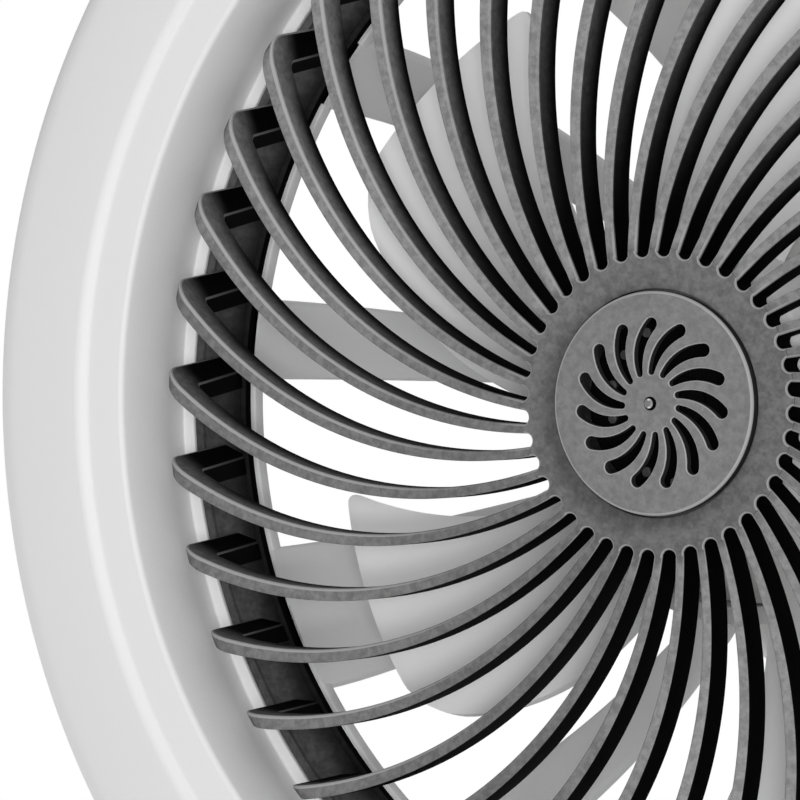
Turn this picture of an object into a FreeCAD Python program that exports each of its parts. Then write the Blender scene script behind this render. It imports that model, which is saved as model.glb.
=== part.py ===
import FreeCAD, Part
import math
import os
from FreeCAD import Vector

# Mini ceiling fan: a guarded impeller in a white ring casing, hung by a stem from a ceiling bracket.
# Millimetres, +Z up, the origin on the ceiling in the middle of the bracket, the grille facing down.
# A "depth" is a height above the front face of the grille's hub ring; a radius is from the spin axis.

# Clearances
FIT_GAP = 0.03              # between pieces pressed or screwed together
RUN_GAP = 0.05              # shaft in its bearings, on the radius
SEAT_GAP = 0.3              # between mouldings that drop into each other

# Front bezel, from the throat outwards
THROAT_R = 104.2
THROAT_DRAFT = 0.7
THROAT_EDGE_ROUND = 1.2
FLAT_W = 5.8
STEP_W = 1.1
STEP_D = 1.2
FACE_W = 13.9
FACE_FALL = 1.6
EDGE_ROUND = 6.0
CREST_D = 4.0
LEDGE_D = 22.6
LEDGE_W = 2.05
LEDGE_T = 2.2
CASING_WALL = 2.4
BEZEL_BOSS_R = 4.0

# Rear housing: back plate, skirt, spokes and motor cup
CASING_D = 31.0
BACK_T = 3.0
BACK_ROUND = 4.0
BORE_STEP = 0.8
PARTING_D = 23.0
PARTING_GAP = 0.2
SPOKE_COUNT = 12
WIDE_SPOKES = 4
SPOKE_DEG = 8.4
WIDE_SPOKE_DEG = 15.8
SPOKE_PHASE_DEG = 6.0
WIDE_PHASE_DEG = 66.0
SPOKE_T = 3.0
SPOKE_RISE = 46.8
SPOKE_ARC_R = 51.4
CUP_GAP = 9.0
CUP_T = 3.0
HUB_PLATE_T = 3.0
LEAD_HOLE_R = 6.3

# Grille
RIB_COUNT = 40
RIB_ROOT_W = 1.5
RIB_W = 2.4
RIB_T = 5.5
RIB_FALL = 3.0
RIB_ARC_R = 78.0
RIB_SWEEP_DEG = 30.4
RIB_PHASE_DEG = 7.75
RIB_TIP_INSET = 6.6
RIB_CORNER = 4.0
LEG_W = 3.5
LEG_FLARE = 3.0
HUB_RING_R = 23.8
NOTCH_R = 1.17              # round end of the gap between two ribs, in the hub ring's edge
HUB_RING_T = 5.0
RIB_ROOT_R = 23.4
BASE_LIP_W = 1.2
BASE_LIP_H = 1.8
BASE_INSET = 0.9
BASE_FLOOR_T = 1.2
BASE_RIM_W = 1.6
BASE_RIM_STEP = 0.8

# Hub cap
CAP_R = 17.3
CAP_PROUD = 1.0
CAP_DOME = 0.7
CAP_T = 1.2
CAP_SEAT_D = 1.0
SPIGOT_R = 15.0
SPIGOT_T = 0.9
CAP_SLOTS = 15
CAP_SLOT_R0 = 4.9
CAP_SLOT_R1 = 11.9
CAP_SLOT_ROOT_W = 1.0
CAP_SLOT_MIDDLE_W = 1.9
CAP_SLOT_W = 2.6
CAP_SLOT_SWEEP_DEG = 20.4
CAP_SLOT_BOW = 0.6
CAP_SLOT_PHASE_DEG = -19.5
CAP_HOLE_R = 1.05

# Motor, outwards from the shaft
SHAFT_R = 1.5
SHAFT_TIP_R = 0.75
SHAFT_PROUD = 0.7
BEARING_R = 4.0
BEARING_W = 4.0
BEARING_LIP = 0.6
HOLDER_T = 1.55
YOKE_T = 2.8
TOOTH_COUNT = 9
TOOTH_W = 3.0
SHOE_T = 1.5
SHOE_DEG = 34.0
STATOR_R = 17.1
AIR_GAP = 0.5
MAGNET_T = 2.1
CAN_T = 1.2
SLEEVE_T = 2.9

# Motor, upwards from the grille
ROTOR_GAP = 2.2
LIP_T = 1.8
LIP_W = 4.9
BOSS_R = 4.0
BOSS_FLANGE_R = 15.0
BOSS_FLANGE_T = 1.7
BOSS_NOSE = 0.8
RIVET_COUNT = 15
RIVET_CIRCLE_R = 12.6
RIVET_R = 0.5
RIVET_HEAD_R = 0.75
RIVET_HEAD_T = 0.6
HOLDER_GAP = 0.8
BEARING_SEAT = 0.4
COIL_GAP = 2.0
COIL_OVER = 3.0
COIL_SIDE = 1.5
CORE_L = 9.0
INSULATOR_T = 1.2
MAGNET_OVER = 2.5
CAN_OVER = 0.5
SLEEVE_OVER = 0.5
BOARD_GAP = 1.2
BOARD_T = 1.2
BOARD_SEAT_W = 3.4
BASE_BOSS_H = 1.1
BASE_T = 2.5
CLIP_T = 0.6
CLIP_R = 3.0
CLIP_GROOVE_R = 1.1
CLIP_GAP = 0.3
SHAFT_TAIL = 1.0
SENSOR_COUNT = 3
SENSOR_W = 3.0
SENSOR_H = 1.3

# Impeller blades
BLADE_COUNT = 5
BLADE_TIP_R = 74.5
BLADE_T = 2.0
BLADE_GAP = 13.5
BLADE_RISE = 7.5
LEAD_CORNER = 2.5
TRAIL_CORNER = 6.5
BLADE_PHASE_DEG = 24.0
LEAD_MID_R = 47.1
LEAD_MID_DEG = -11.9
LEAD_ROOT_DEG = -20.5
TRAIL_TIP_DEG = -32.0
TRAIL_MID_R = 47.0
TRAIL_MID_DEG = -51.9
TRAIL_ROOT_DEG = -65.0
BLADE_PATCH = 0.35          # how far the twisted sheet runs past its own edges before it is trimmed

# Stem and motor cover
STEM_R = 10.5
STEM_BORE_R = 4.5
STEM_FLANGE_W = 13.5
STEM_FLANGE_T = 3.0
STEM_L = 56.0
NIPPLE_R = 6.9
NIPPLE_L = 14.0
WASHER_R = 13.0
WASHER_T = 1.2
NUT_FLATS = 22.0
NUT_T = 6.0
COVER_T = 1.8
COVER_H = 8.0
COVER_ROUND = 6.0
COLLAR_T = 3.2
COLLAR_H = 7.0

# Canopy and ceiling bracket
CANOPY_R = 58.0
CANOPY_H = 33.4
CANOPY_T = 1.6
CANOPY_ROUND = 8.0
CEILING_GAP = 0.6
STRAP_W = 18.0
STRAP_T = 2.0
EAR_GAP = 0.6
EAR_H = 22.0
CANOPY_SCREW_DROP = 13.0
SLOT_SPACING = 70.0
SLOT_L = 15.0
SLOT_R = 2.5
GROMMET_R = 6.0
GROMMET_BORE_R = 4.0
GROMMET_FLANGE_W = 1.6
GROMMET_FLANGE_T = 1.5

# Electrics inside the canopy
TERMINAL_L = 26.0
TERMINAL_W = 16.0
TERMINAL_H = 13.0
TERMINAL_POLES = 3
TERMINAL_HOLE_R = 1.6
TERMINAL_SCREW_R = 2.0
TERMINAL_SCREW_L = 3.0
TERMINAL_OFFSET = 12.0      # from the stem's washer to the block
DRIVER_L = 62.0
DRIVER_W = 22.0
DRIVER_H = 15.6
DRIVER_WALL = 1.4
DRIVER_OFFSET = 2.5         # from the stem's washer to the case
DRIVER_POST_R = 1.8
DRIVER_POST_H = 2.5
DRIVER_BOARD_GAP = 1.0
DRIVER_BOARD_T = 1.6
CAPACITOR_R = 4.2
CAPACITOR_L = 16.0
TRANSFORMER_L = 13.0
TRANSFORMER_W = 12.0
TRANSFORMER_H = 8.0

# Screws: shank radius, head radius, head height, length under the head
CASE_SCREW = (1.5, 3.0, 1.8, 14.0)
GRILLE_SCREW = (1.3, 2.5, 1.5, 4.6)
MOTOR_SCREW = (1.5, 2.75, 1.8, 5.0)
STEM_SCREW = (2.0, 3.2, 2.2, 5.4)
CANOPY_SCREW = (2.0, 4.0, 3.0, 8.0)
GRUB_R = 1.5
CASE_SCREW_COUNT = 6
GRILLE_SCREW_COUNT = 4
MOTOR_SCREW_COUNT = 3
STEM_SCREW_COUNT = 4

# Worked out: casing and grille
crest_r = THROAT_R + THROAT_EDGE_ROUND + FLAT_W + STEP_W
casing_r = crest_r + FACE_W + EDGE_ROUND
throat_foot_r = THROAT_R - THROAT_DRAFT
ledge_r = throat_foot_r - LEDGE_W
flat_d = CREST_D + STEP_D
edge_d = CREST_D + FACE_FALL
back_d = CASING_D - BACK_T
spoke_d = back_d + SPOKE_RISE
cup_back_d = spoke_d + SPOKE_T
case_screw_r = (THROAT_R + casing_r) / 2
base_r = ledge_r - SEAT_GAP
tip_r = base_r - RIB_TIP_INSET
foot_r = tip_r + LEG_FLARE
base_bore_r = foot_r - LEG_W - BASE_INSET
housing_bore_r = base_bore_r - BORE_STEP
grille_screw_r = (foot_r + base_r - BASE_RIM_W) / 2
rib_under_d = RIB_FALL + RIB_T

# Worked out: motor
holder_r = BEARING_R + FIT_GAP + HOLDER_T
yoke_bore_r = holder_r + FIT_GAP
yoke_r = yoke_bore_r + YOKE_T
shoe_r = STATOR_R - SHOE_T
magnet_r = STATOR_R + AIR_GAP
can_bore_r = magnet_r + MAGNET_T + FIT_GAP
can_r = can_bore_r + CAN_T
sleeve_bore_r = can_r + FIT_GAP
sleeve_r = sleeve_bore_r + SLEEVE_T
cup_bore_r = sleeve_r + CUP_GAP
cup_r = cup_bore_r + CUP_T
lip_d = RIB_T + ROTOR_GAP
can_d = lip_d + LIP_T
flange_d = can_d + CAN_T
rivet_tail_d = flange_d + BOSS_FLANGE_T
rivet_end_d = rivet_tail_d + RIVET_HEAD_T
holder_d = rivet_end_d + HOLDER_GAP
front_bearing_d = holder_d + BEARING_SEAT
coil_d = rivet_end_d + COIL_GAP
core_d = coil_d + COIL_OVER
core_end_d = core_d + CORE_L
coil_end_d = core_end_d + COIL_OVER
can_end_d = coil_end_d + CAN_OVER
sleeve_end_d = can_end_d + SLEEVE_OVER
board_d = coil_end_d + BOARD_GAP
base_boss_d = board_d + BOARD_T
motor_base_d = base_boss_d + BASE_BOSS_H
hub_plate_d = motor_base_d + BASE_T
rear_bearing_d = hub_plate_d - BEARING_SEAT - BEARING_W
clip_d = rear_bearing_d + BEARING_W + CLIP_GAP
shaft_end_d = clip_d + CLIP_T + SHAFT_TAIL

# Worked out: hanging
hub_back_d = hub_plate_d + HUB_PLATE_T
stem_d = hub_back_d + STEM_FLANGE_T
canopy_d = stem_d + STEM_L
canopy_floor_d = canopy_d + CANOPY_T
ceiling_d = canopy_d + CANOPY_H + CEILING_GAP
FACE_Z = -ceiling_d
stem_flange_r = STEM_R + STEM_FLANGE_W
stem_screw_r = (STEM_R + stem_flange_r) / 2
motor_screw_r = (stem_flange_r + cup_bore_r) / 2
collar_r = STEM_R + SEAT_GAP + COLLAR_T
cover_top_d = cup_back_d + COVER_H
canopy_bore_r = CANOPY_R - CANOPY_T
ear_x = math.sqrt(canopy_bore_r ** 2 - (STRAP_W / 2) ** 2) - EAR_GAP

UP = Vector(0, 0, 1)


def at(radius, depth, degrees=0.0):
    """A point from its radius, its depth and its angle about the spin axis."""
    angle = math.radians(degrees)
    return Vector(radius * math.cos(angle), radius * math.sin(angle), FACE_Z + depth)


def outline(start, *steps):
    """A closed wire of points: a step is the next point, or a pair (point on the arc, end of the arc)."""
    edges = []
    here = start
    for step in steps + (start,):
        if isinstance(step, tuple):
            middle, there = step
            edges.append(Part.Arc(here, middle, there).toShape())
        else:
            there = step
            if here.distanceToPoint(there) > 1e-6:
                edges.append(Part.LineSegment(here, there).toShape())
        here = there
    return Part.Wire(edges)


def lathe(start, *steps):
    """A turned solid: the outline's points are given by at()."""
    return Part.Face(outline(start, *steps)).revolve(Vector(0, 0, 0), UP, 360)


def corner(centre_r, centre_d, radius, side_r, side_d):
    """The middle point of a quarter round about a centre, on the side the two signs give."""
    reach = radius * math.sqrt(0.5)
    return at(centre_r + side_r * reach, centre_d + side_d * reach)


def disc(radius, depth, thickness, centre_r=0.0, degrees=0.0):
    return Part.makeCylinder(radius, thickness, at(centre_r, depth, degrees))


def ring(bore, radius, depth, thickness):
    return disc(radius, depth, thickness).cut(disc(bore, depth, thickness))


def box(size, low):
    return Part.makeBox(size[0], size[1], size[2], low)


def around(shape, count, phase=0.0):
    """Copies of a shape turned about the spin axis."""
    copies = []
    for index in range(count):
        copy = shape.copy()
        copy.rotate(Vector(0, 0, 0), UP, phase + 360.0 * index / count)
        copies.append(copy)
    return copies


def screw(kind, radius, head_depth, degrees=0.0):
    """A pan head screw driven from above, its head standing on head_depth."""
    shank_r, head_r, head_h, length = kind
    body = disc(shank_r, head_depth - length, length, radius, degrees)
    return body.fuse(disc(head_r, head_depth, head_h, radius, degrees)).removeSplitter()


def screw_holes(kind, radius, head_depth, count, phase=0.0):
    hole = disc(kind[0] + FIT_GAP, head_depth - kind[3], kind[3], radius)
    return around(hole, count, phase)


def sector(bore, radius, degrees, middle_degrees, depth, thickness):
    """A plate between two radii, spread evenly about an angle."""
    wedge = Part.makeCylinder(radius, thickness, at(0, depth), UP, degrees)
    wedge.rotate(Vector(0, 0, 0), UP, middle_degrees - degrees / 2)
    return wedge.cut(disc(bore, depth, thickness))


def front_bezel():
    rim_r = casing_r - EDGE_ROUND
    rim_d = edge_d + EDGE_ROUND
    lip_r = THROAT_R + THROAT_EDGE_ROUND
    inner_round = EDGE_ROUND - CASING_WALL
    shell = lathe(
        at(casing_r, PARTING_D),
        at(casing_r, rim_d),
        (corner(rim_r, rim_d, EDGE_ROUND, 1, -1), at(rim_r, edge_d)),
        at(crest_r, CREST_D),
        at(crest_r - STEP_W, flat_d),
        at(lip_r, flat_d),
        (corner(lip_r, flat_d + THROAT_EDGE_ROUND, THROAT_EDGE_ROUND, -1, -1),
         at(THROAT_R, flat_d + THROAT_EDGE_ROUND)),
        at(throat_foot_r, LEDGE_D),
        at(ledge_r, LEDGE_D),
        at(ledge_r, LEDGE_D + LEDGE_T),
        at(throat_foot_r + CASING_WALL, LEDGE_D + LEDGE_T),
        at(THROAT_R + CASING_WALL, flat_d + CASING_WALL),
        at(crest_r, flat_d + CASING_WALL),
        at(rim_r, edge_d + CASING_WALL),
        (corner(rim_r, rim_d, inner_round, 1, -1), at(casing_r - CASING_WALL, rim_d)),
        at(casing_r - CASING_WALL, PARTING_D),
    )
    boss_d = flat_d + CASING_WALL / 2
    bosses = around(disc(BEZEL_BOSS_R, boss_d, back_d - boss_d, case_screw_r), CASE_SCREW_COUNT)
    holes = screw_holes(CASE_SCREW, case_screw_r, CASING_D, CASE_SCREW_COUNT)
    return shell.fuse(bosses).cut(holes).removeSplitter()


def spoke_section():
    """The turned skin the spokes are cut from: an arc rising from the ring, then flat to the motor cup."""
    centre_d = spoke_d - SPOKE_ARC_R
    drop = back_d - centre_d
    centre_r = housing_bore_r - math.sqrt(SPOKE_ARC_R ** 2 - drop ** 2)
    back_arc_r = SPOKE_ARC_R + SPOKE_T
    cup_middle_r = (cup_bore_r + cup_r) / 2
    return lathe(at(housing_bore_r, back_d),
                 (corner(centre_r, centre_d, SPOKE_ARC_R, 1, 1), at(centre_r, spoke_d)),
                 at(cup_middle_r, spoke_d), at(cup_middle_r, cup_back_d), at(centre_r, cup_back_d),
                 (corner(centre_r, centre_d, back_arc_r, 1, 1),
                  at(centre_r + math.sqrt(back_arc_r ** 2 - drop ** 2), back_d)))


def rear_housing():
    back_edge_r = casing_r - BACK_ROUND
    skirt_r = casing_r - CASING_WALL
    shell = lathe(
        at(housing_bore_r, back_d),
        at(skirt_r, back_d),
        at(skirt_r, PARTING_D + PARTING_GAP),
        at(casing_r, PARTING_D + PARTING_GAP),
        at(casing_r, CASING_D - BACK_ROUND),
        (corner(back_edge_r, CASING_D - BACK_ROUND, BACK_ROUND, 1, 1), at(back_edge_r, CASING_D)),
        at(housing_bore_r, CASING_D),
    )
    cup = lathe(at(cup_bore_r, back_d), at(cup_r, back_d), at(cup_r, cup_back_d),
                at(cup_bore_r, cup_back_d), at(cup_bore_r, hub_back_d), at(LEAD_HOLE_R, hub_back_d),
                at(LEAD_HOLE_R, hub_plate_d), at(cup_bore_r, hub_plate_d))
    cage = spoke_section()
    height = cup_back_d - back_d
    plain = cage.common(sector(cup_bore_r, casing_r, SPOKE_DEG, SPOKE_PHASE_DEG, back_d, height))
    wide = cage.common(sector(cup_bore_r, casing_r, WIDE_SPOKE_DEG, WIDE_PHASE_DEG, back_d, height))
    spokes = around(plain, SPOKE_COUNT) + around(wide, WIDE_SPOKES)
    holes = screw_holes(CASE_SCREW, case_screw_r, CASING_D, CASE_SCREW_COUNT)
    holes += screw_holes(GRILLE_SCREW, grille_screw_r, CASING_D, GRILLE_SCREW_COUNT)
    holes += screw_holes(MOTOR_SCREW, motor_screw_r, hub_back_d, MOTOR_SCREW_COUNT)
    holes += screw_holes(STEM_SCREW, stem_screw_r, stem_d, STEM_SCREW_COUNT)
    return shell.fuse([cup] + spokes).cut(holes).removeSplitter()


def rib_strip():
    """The plan of one rib, an arc widening from the hub ring to the tip, drawn deep enough to cut from."""
    root = Vector(RIB_ROOT_R, 0, 0)
    sweep = math.radians(RIB_SWEEP_DEG)
    tip = Vector(tip_r * math.cos(sweep), tip_r * math.sin(sweep), 0)
    chord = tip - root
    left = Vector(-chord.y, chord.x, 0).normalize()
    rise = math.sqrt(RIB_ARC_R ** 2 - (chord.Length / 2) ** 2)
    centre = root + chord * 0.5 + left * rise

    def heading(point):
        return math.atan2(point.y - centre.y, point.x - centre.x)

    def on_arc(radius, angle):
        return Vector(centre.x + radius * math.cos(angle), centre.y + radius * math.sin(angle), FACE_Z)

    start = heading(root) - (HUB_RING_R - CAP_R) / 2 / RIB_ARC_R
    end = heading(tip) + 2 * LEG_FLARE / RIB_ARC_R
    middle = (start + end) / 2

    def side(sign):
        return [on_arc(RIB_ARC_R + sign * width / 2, angle) for width, angle in
                ((RIB_ROOT_W, start), ((RIB_ROOT_W + RIB_W) / 2, middle), (RIB_W, end))]

    inner_root, inner_middle, inner_tip = side(-1)
    outer_root, outer_middle, outer_tip = side(1)
    plan = outline(inner_root, (inner_middle, inner_tip), outer_tip, (outer_middle, outer_root))
    return Part.Face(plan).extrude(UP * back_d)


def rib():
    """One whole rib: a bar falling from the hub ring to the tip, and a leg standing back from the tip."""
    rib_root_r = HUB_RING_R - (HUB_RING_R - CAP_R) / 2
    bend_r = tip_r - RIB_CORNER
    section = lathe(
        at(rib_root_r, 0),
        at(bend_r, RIB_FALL),
        (corner(bend_r, RIB_FALL + RIB_CORNER, RIB_CORNER, 1, -1), at(tip_r, RIB_FALL + RIB_CORNER)),
        at(foot_r, back_d - BASE_FLOOR_T / 2),
        at(foot_r - LEG_W, back_d - BASE_FLOOR_T / 2),
        at(tip_r - LEG_W, rib_under_d),
        at(rib_root_r, RIB_T),
    )
    return rib_strip().common(section)


def grille():
    """The face of the guard: the hub ring with its notches, and the bars."""
    cap_bore_r = CAP_R + SEAT_GAP
    spigot_bore_r = SPIGOT_R + FIT_GAP
    hub = lathe(at(cap_bore_r, 0), at(HUB_RING_R, 0), at(HUB_RING_R, HUB_RING_T),
                at(spigot_bore_r, HUB_RING_T), at(spigot_bore_r, CAP_SEAT_D), at(cap_bore_r, CAP_SEAT_D))
    half_pitch = 180.0 / RIB_COUNT
    hub = hub.cut(around(disc(NOTCH_R, 0, HUB_RING_T, HUB_RING_R), RIB_COUNT, RIB_PHASE_DEG + half_pitch))
    bar = rib().common(disc(casing_r, 0, rib_under_d))
    return hub.fuse(around(bar, RIB_COUNT, RIB_PHASE_DEG)).removeSplitter()


def grille_legs():
    """The legs under the bars' tips, down to the base ring: the same moulding as the bars."""
    leg_d = rib_under_d + FIT_GAP
    seat = grille_base()
    seat.translate(Vector(0, 0, -FIT_GAP))
    leg = rib().common(disc(casing_r, leg_d, back_d - leg_d)).cut(seat)
    return Part.makeCompound(around(leg, RIB_COUNT, RIB_PHASE_DEG))


def grille_base():
    """The ring the legs stand on, dished between its lip and its rim: the same moulding as the bars."""
    lip_r = base_bore_r + BASE_LIP_W
    rim_r = base_r - BASE_RIM_W
    base = lathe(at(base_bore_r, back_d), at(base_bore_r, back_d - BASE_LIP_H),
                 at(lip_r, back_d - BASE_LIP_H), at(lip_r, back_d - BASE_FLOOR_T),
                 at(rim_r, LEDGE_D + BASE_RIM_STEP), at(rim_r, LEDGE_D),
                 at(base_r, LEDGE_D), at(base_r, back_d))
    return base.cut(screw_holes(GRILLE_SCREW, grille_screw_r, CASING_D, GRILLE_SCREW_COUNT))


def cap_slot():
    """One pinwheel slot: two swept sides closed by round ends, narrower towards the middle."""
    middle_r = (CAP_SLOT_R0 + CAP_SLOT_R1) / 2
    depth = -CAP_PROUD - CAP_DOME

    def edge(side):
        points = []
        for radius, sweep, width in ((CAP_SLOT_R0, 1.0, CAP_SLOT_ROOT_W),
                                     (middle_r, CAP_SLOT_BOW, CAP_SLOT_MIDDLE_W),
                                     (CAP_SLOT_R1, 0.0, CAP_SLOT_W)):
            half = math.degrees(width / 2 / radius)
            points.append(at(radius, depth, side * half - sweep * CAP_SLOT_SWEEP_DEG))
        return points

    in_a, mid_a, out_a = edge(-1)
    in_b, mid_b, out_b = edge(1)
    plan = outline(in_a, (mid_a, out_a), (at(CAP_SLOT_R1 + CAP_SLOT_W / 2, depth), out_b), (mid_b, in_b),
                   (at(CAP_SLOT_R0 - CAP_SLOT_ROOT_W / 2, depth, -CAP_SLOT_SWEEP_DEG), in_a))
    return Part.Face(plan).extrude(UP * (CAP_DOME + CAP_PROUD + CAP_SEAT_D))


def hub_cap():
    """A slightly domed disc with a skirt that plugs into the hub ring."""
    bore_r = SPIGOT_R - SPIGOT_T
    dome_r = CAP_R / 2
    under_d = CAP_T - CAP_PROUD - CAP_DOME
    plate = lathe(at(CAP_HOLE_R, -CAP_PROUD - CAP_DOME),
                  (at(dome_r, -CAP_PROUD - 0.75 * CAP_DOME), at(CAP_R, -CAP_PROUD)),
                  at(CAP_R, CAP_SEAT_D), at(SPIGOT_R, CAP_SEAT_D), at(SPIGOT_R, HUB_RING_T),
                  at(bore_r, HUB_RING_T), at(bore_r, under_d + CAP_DOME), at(CAP_HOLE_R, under_d))
    return plate.cut(around(cap_slot(), CAP_SLOTS, CAP_SLOT_PHASE_DEG)).removeSplitter()


def blade():
    """One blade: a twisted sheet given its thickness, trimmed by a plan with round tip corners."""
    trail_d = RIB_T + BLADE_GAP
    lead_d = trail_d + BLADE_RISE
    root_r = (sleeve_bore_r + sleeve_r) / 2
    corners = (at(BLADE_TIP_R, lead_d), at(root_r, lead_d, LEAD_ROOT_DEG),
               at(BLADE_TIP_R, trail_d, TRAIL_TIP_DEG), at(root_r, trail_d, TRAIL_ROOT_DEG))

    def patch(along, across):
        lead = corners[0] * along + corners[1] * (1 - along)
        trail = corners[2] * along + corners[3] * (1 - along)
        return lead * (1 - across) + trail * across

    low, high = -BLADE_PATCH, 1 + BLADE_PATCH
    edges = [Part.LineSegment(patch(low, side), patch(high, side)).toShape() for side in (low, high)]
    sheet = Part.makeRuledSurface(edges[0], edges[1]).extrude(UP * BLADE_T)
    floor_d = RIB_T
    tip_middle = TRAIL_TIP_DEG / 2
    plan = outline(
        at(root_r, floor_d, LEAD_ROOT_DEG),
        (at(LEAD_MID_R, floor_d, LEAD_MID_DEG), at(BLADE_TIP_R, floor_d)),
        (at(BLADE_TIP_R, floor_d, tip_middle), at(BLADE_TIP_R, floor_d, TRAIL_TIP_DEG)),
        (at(TRAIL_MID_R, floor_d, TRAIL_MID_DEG), at(root_r, floor_d, TRAIL_ROOT_DEG)),
        (at(root_r, floor_d, (LEAD_ROOT_DEG + TRAIL_ROOT_DEG) / 2), at(root_r, floor_d, LEAD_ROOT_DEG)),
    )
    prism = Part.Face(plan).extrude(UP * (sleeve_end_d - floor_d))
    for radius, degrees in ((LEAD_CORNER, 0), (TRAIL_CORNER, TRAIL_TIP_DEG)):
        corner_line = at(BLADE_TIP_R, (floor_d + sleeve_end_d) / 2, degrees)
        nearest = min(prism.Edges, key=lambda edge: edge.CenterOfMass.distanceToPoint(corner_line))
        prism = prism.makeFillet(radius, [nearest])
    return sheet.common(prism)


def impeller():
    lip_bore_r = sleeve_r - LIP_W
    sleeve = lathe(at(lip_bore_r, lip_d), at(sleeve_r, lip_d), at(sleeve_r, sleeve_end_d),
                   at(sleeve_bore_r, sleeve_end_d), at(sleeve_bore_r, can_d), at(lip_bore_r, can_d))
    return sleeve.fuse(around(blade(), BLADE_COUNT, BLADE_PHASE_DEG)).removeSplitter()


def rotor_can():
    can = lathe(at(BOSS_R + FIT_GAP, can_d), at(can_r, can_d), at(can_r, can_end_d),
                at(can_bore_r, can_end_d), at(can_bore_r, flange_d), at(BOSS_R + FIT_GAP, flange_d))
    return can.cut(around(disc(RIVET_R + FIT_GAP, can_d, CAN_T, RIVET_CIRCLE_R), RIVET_COUNT))


def rotor_magnet():
    return ring(magnet_r, magnet_r + MAGNET_T, core_d - MAGNET_OVER, CORE_L + 2 * MAGNET_OVER)


def rotor_boss():
    bore_r = SHAFT_R + FIT_GAP
    boss = lathe(at(bore_r, can_d - BOSS_NOSE), at(BOSS_R, can_d - BOSS_NOSE), at(BOSS_R, flange_d),
                 at(BOSS_FLANGE_R, flange_d), at(BOSS_FLANGE_R, rivet_tail_d), at(bore_r, rivet_tail_d))
    holes = around(disc(RIVET_R + FIT_GAP, flange_d, BOSS_FLANGE_T, RIVET_CIRCLE_R), RIVET_COUNT)
    return boss.cut(holes)


def hub_rivets():
    head = disc(RIVET_HEAD_R, can_d - RIVET_HEAD_T, RIVET_HEAD_T, RIVET_CIRCLE_R)
    shank = disc(RIVET_R, can_d, rivet_tail_d - can_d, RIVET_CIRCLE_R)
    tail = disc(RIVET_HEAD_R, rivet_tail_d, RIVET_HEAD_T, RIVET_CIRCLE_R)
    return Part.makeCompound(around(head.fuse([shank, tail]).removeSplitter(), RIVET_COUNT))


def motor_shaft():
    tip_d = -CAP_PROUD - CAP_DOME - SHAFT_PROUD
    chamfer = SHAFT_TIP_R / 3
    return lathe(at(0, tip_d), at(SHAFT_TIP_R - chamfer, tip_d), at(SHAFT_TIP_R, tip_d + chamfer),
                 at(SHAFT_TIP_R, HUB_RING_T), at(SHAFT_R, HUB_RING_T), at(SHAFT_R, clip_d),
                 at(CLIP_GROOVE_R, clip_d), at(CLIP_GROOVE_R, clip_d + CLIP_T),
                 at(SHAFT_R, clip_d + CLIP_T), at(SHAFT_R, shaft_end_d), at(0, shaft_end_d))


def shaft_clip():
    mouth = box((CLIP_R, 2 * CLIP_GROOVE_R, CLIP_T), at(0, clip_d) - Vector(0, CLIP_GROOVE_R, 0))
    return ring(CLIP_GROOVE_R + FIT_GAP, CLIP_R, clip_d, CLIP_T).cut(mouth)


def bearing(depth):
    return ring(SHAFT_R + RUN_GAP, BEARING_R, depth, BEARING_W)


def bearing_holder():
    seat_r = BEARING_R + FIT_GAP
    waist_r = BEARING_R - BEARING_LIP
    front_shoulder = front_bearing_d + BEARING_W
    return lathe(at(seat_r, holder_d), at(holder_r, holder_d), at(holder_r, hub_plate_d),
                 at(seat_r, hub_plate_d), at(seat_r, rear_bearing_d), at(waist_r, rear_bearing_d),
                 at(waist_r, front_shoulder), at(seat_r, front_shoulder))


def tooth_bar(width, low_r, high_r, depth, length):
    return box((high_r - low_r, width, length), at(low_r, depth) - Vector(0, width / 2, 0))


def stator_core():
    yoke = ring(yoke_bore_r, yoke_r, core_d, CORE_L)
    tooth = tooth_bar(TOOTH_W, (yoke_bore_r + yoke_r) / 2, (shoe_r + STATOR_R) / 2, core_d, CORE_L)
    shoe = sector(shoe_r, STATOR_R, SHOE_DEG, 0, core_d, CORE_L)
    pieces = around(tooth.fuse(shoe), TOOTH_COUNT)
    return yoke.fuse(pieces).removeSplitter()


def stator_insulators():
    outer_r = yoke_r - FIT_GAP
    return Part.makeCompound([ring(yoke_bore_r, outer_r, core_d - INSULATOR_T, INSULATOR_T),
                              ring(yoke_bore_r, outer_r, core_end_d, INSULATOR_T)])


def stator_windings():
    low_r = yoke_r + SEAT_GAP
    high_r = shoe_r - SEAT_GAP
    length = coil_end_d - coil_d
    hub_room = (low_r * math.tan(math.pi / TOOTH_COUNT) - TOOTH_W / 2) * 0.9
    side = min(COIL_SIDE, hub_room)
    coil = tooth_bar(TOOTH_W + 2 * side, low_r, high_r, coil_d, length)
    coil = coil.makeFillet(side * 0.6, [edge for edge in coil.Edges if edge.BoundBox.XLength > 1.0])
    core = tooth_bar(TOOTH_W + 2 * FIT_GAP, low_r, high_r, core_d - FIT_GAP, CORE_L + 2 * FIT_GAP)
    return Part.makeCompound(around(coil.cut(core), TOOTH_COUNT))


def motor_board():
    return ring(yoke_bore_r, STATOR_R, board_d, BOARD_T)


def hall_sensors():
    sensor = tooth_bar(SENSOR_W, shoe_r, STATOR_R - RUN_GAP, board_d - SENSOR_H, SENSOR_H)
    return Part.makeCompound(around(sensor, SENSOR_COUNT, 180.0 / TOOTH_COUNT))


def motor_base():
    plate = ring(holder_r + FIT_GAP, cup_bore_r - SEAT_GAP, motor_base_d, BASE_T)
    boss = ring(holder_r + FIT_GAP, holder_r + BOARD_SEAT_W, base_boss_d, BASE_BOSS_H)
    holes = screw_holes(MOTOR_SCREW, motor_screw_r, hub_back_d, MOTOR_SCREW_COUNT)
    return plate.fuse(boss).cut(holes).removeSplitter()


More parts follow.
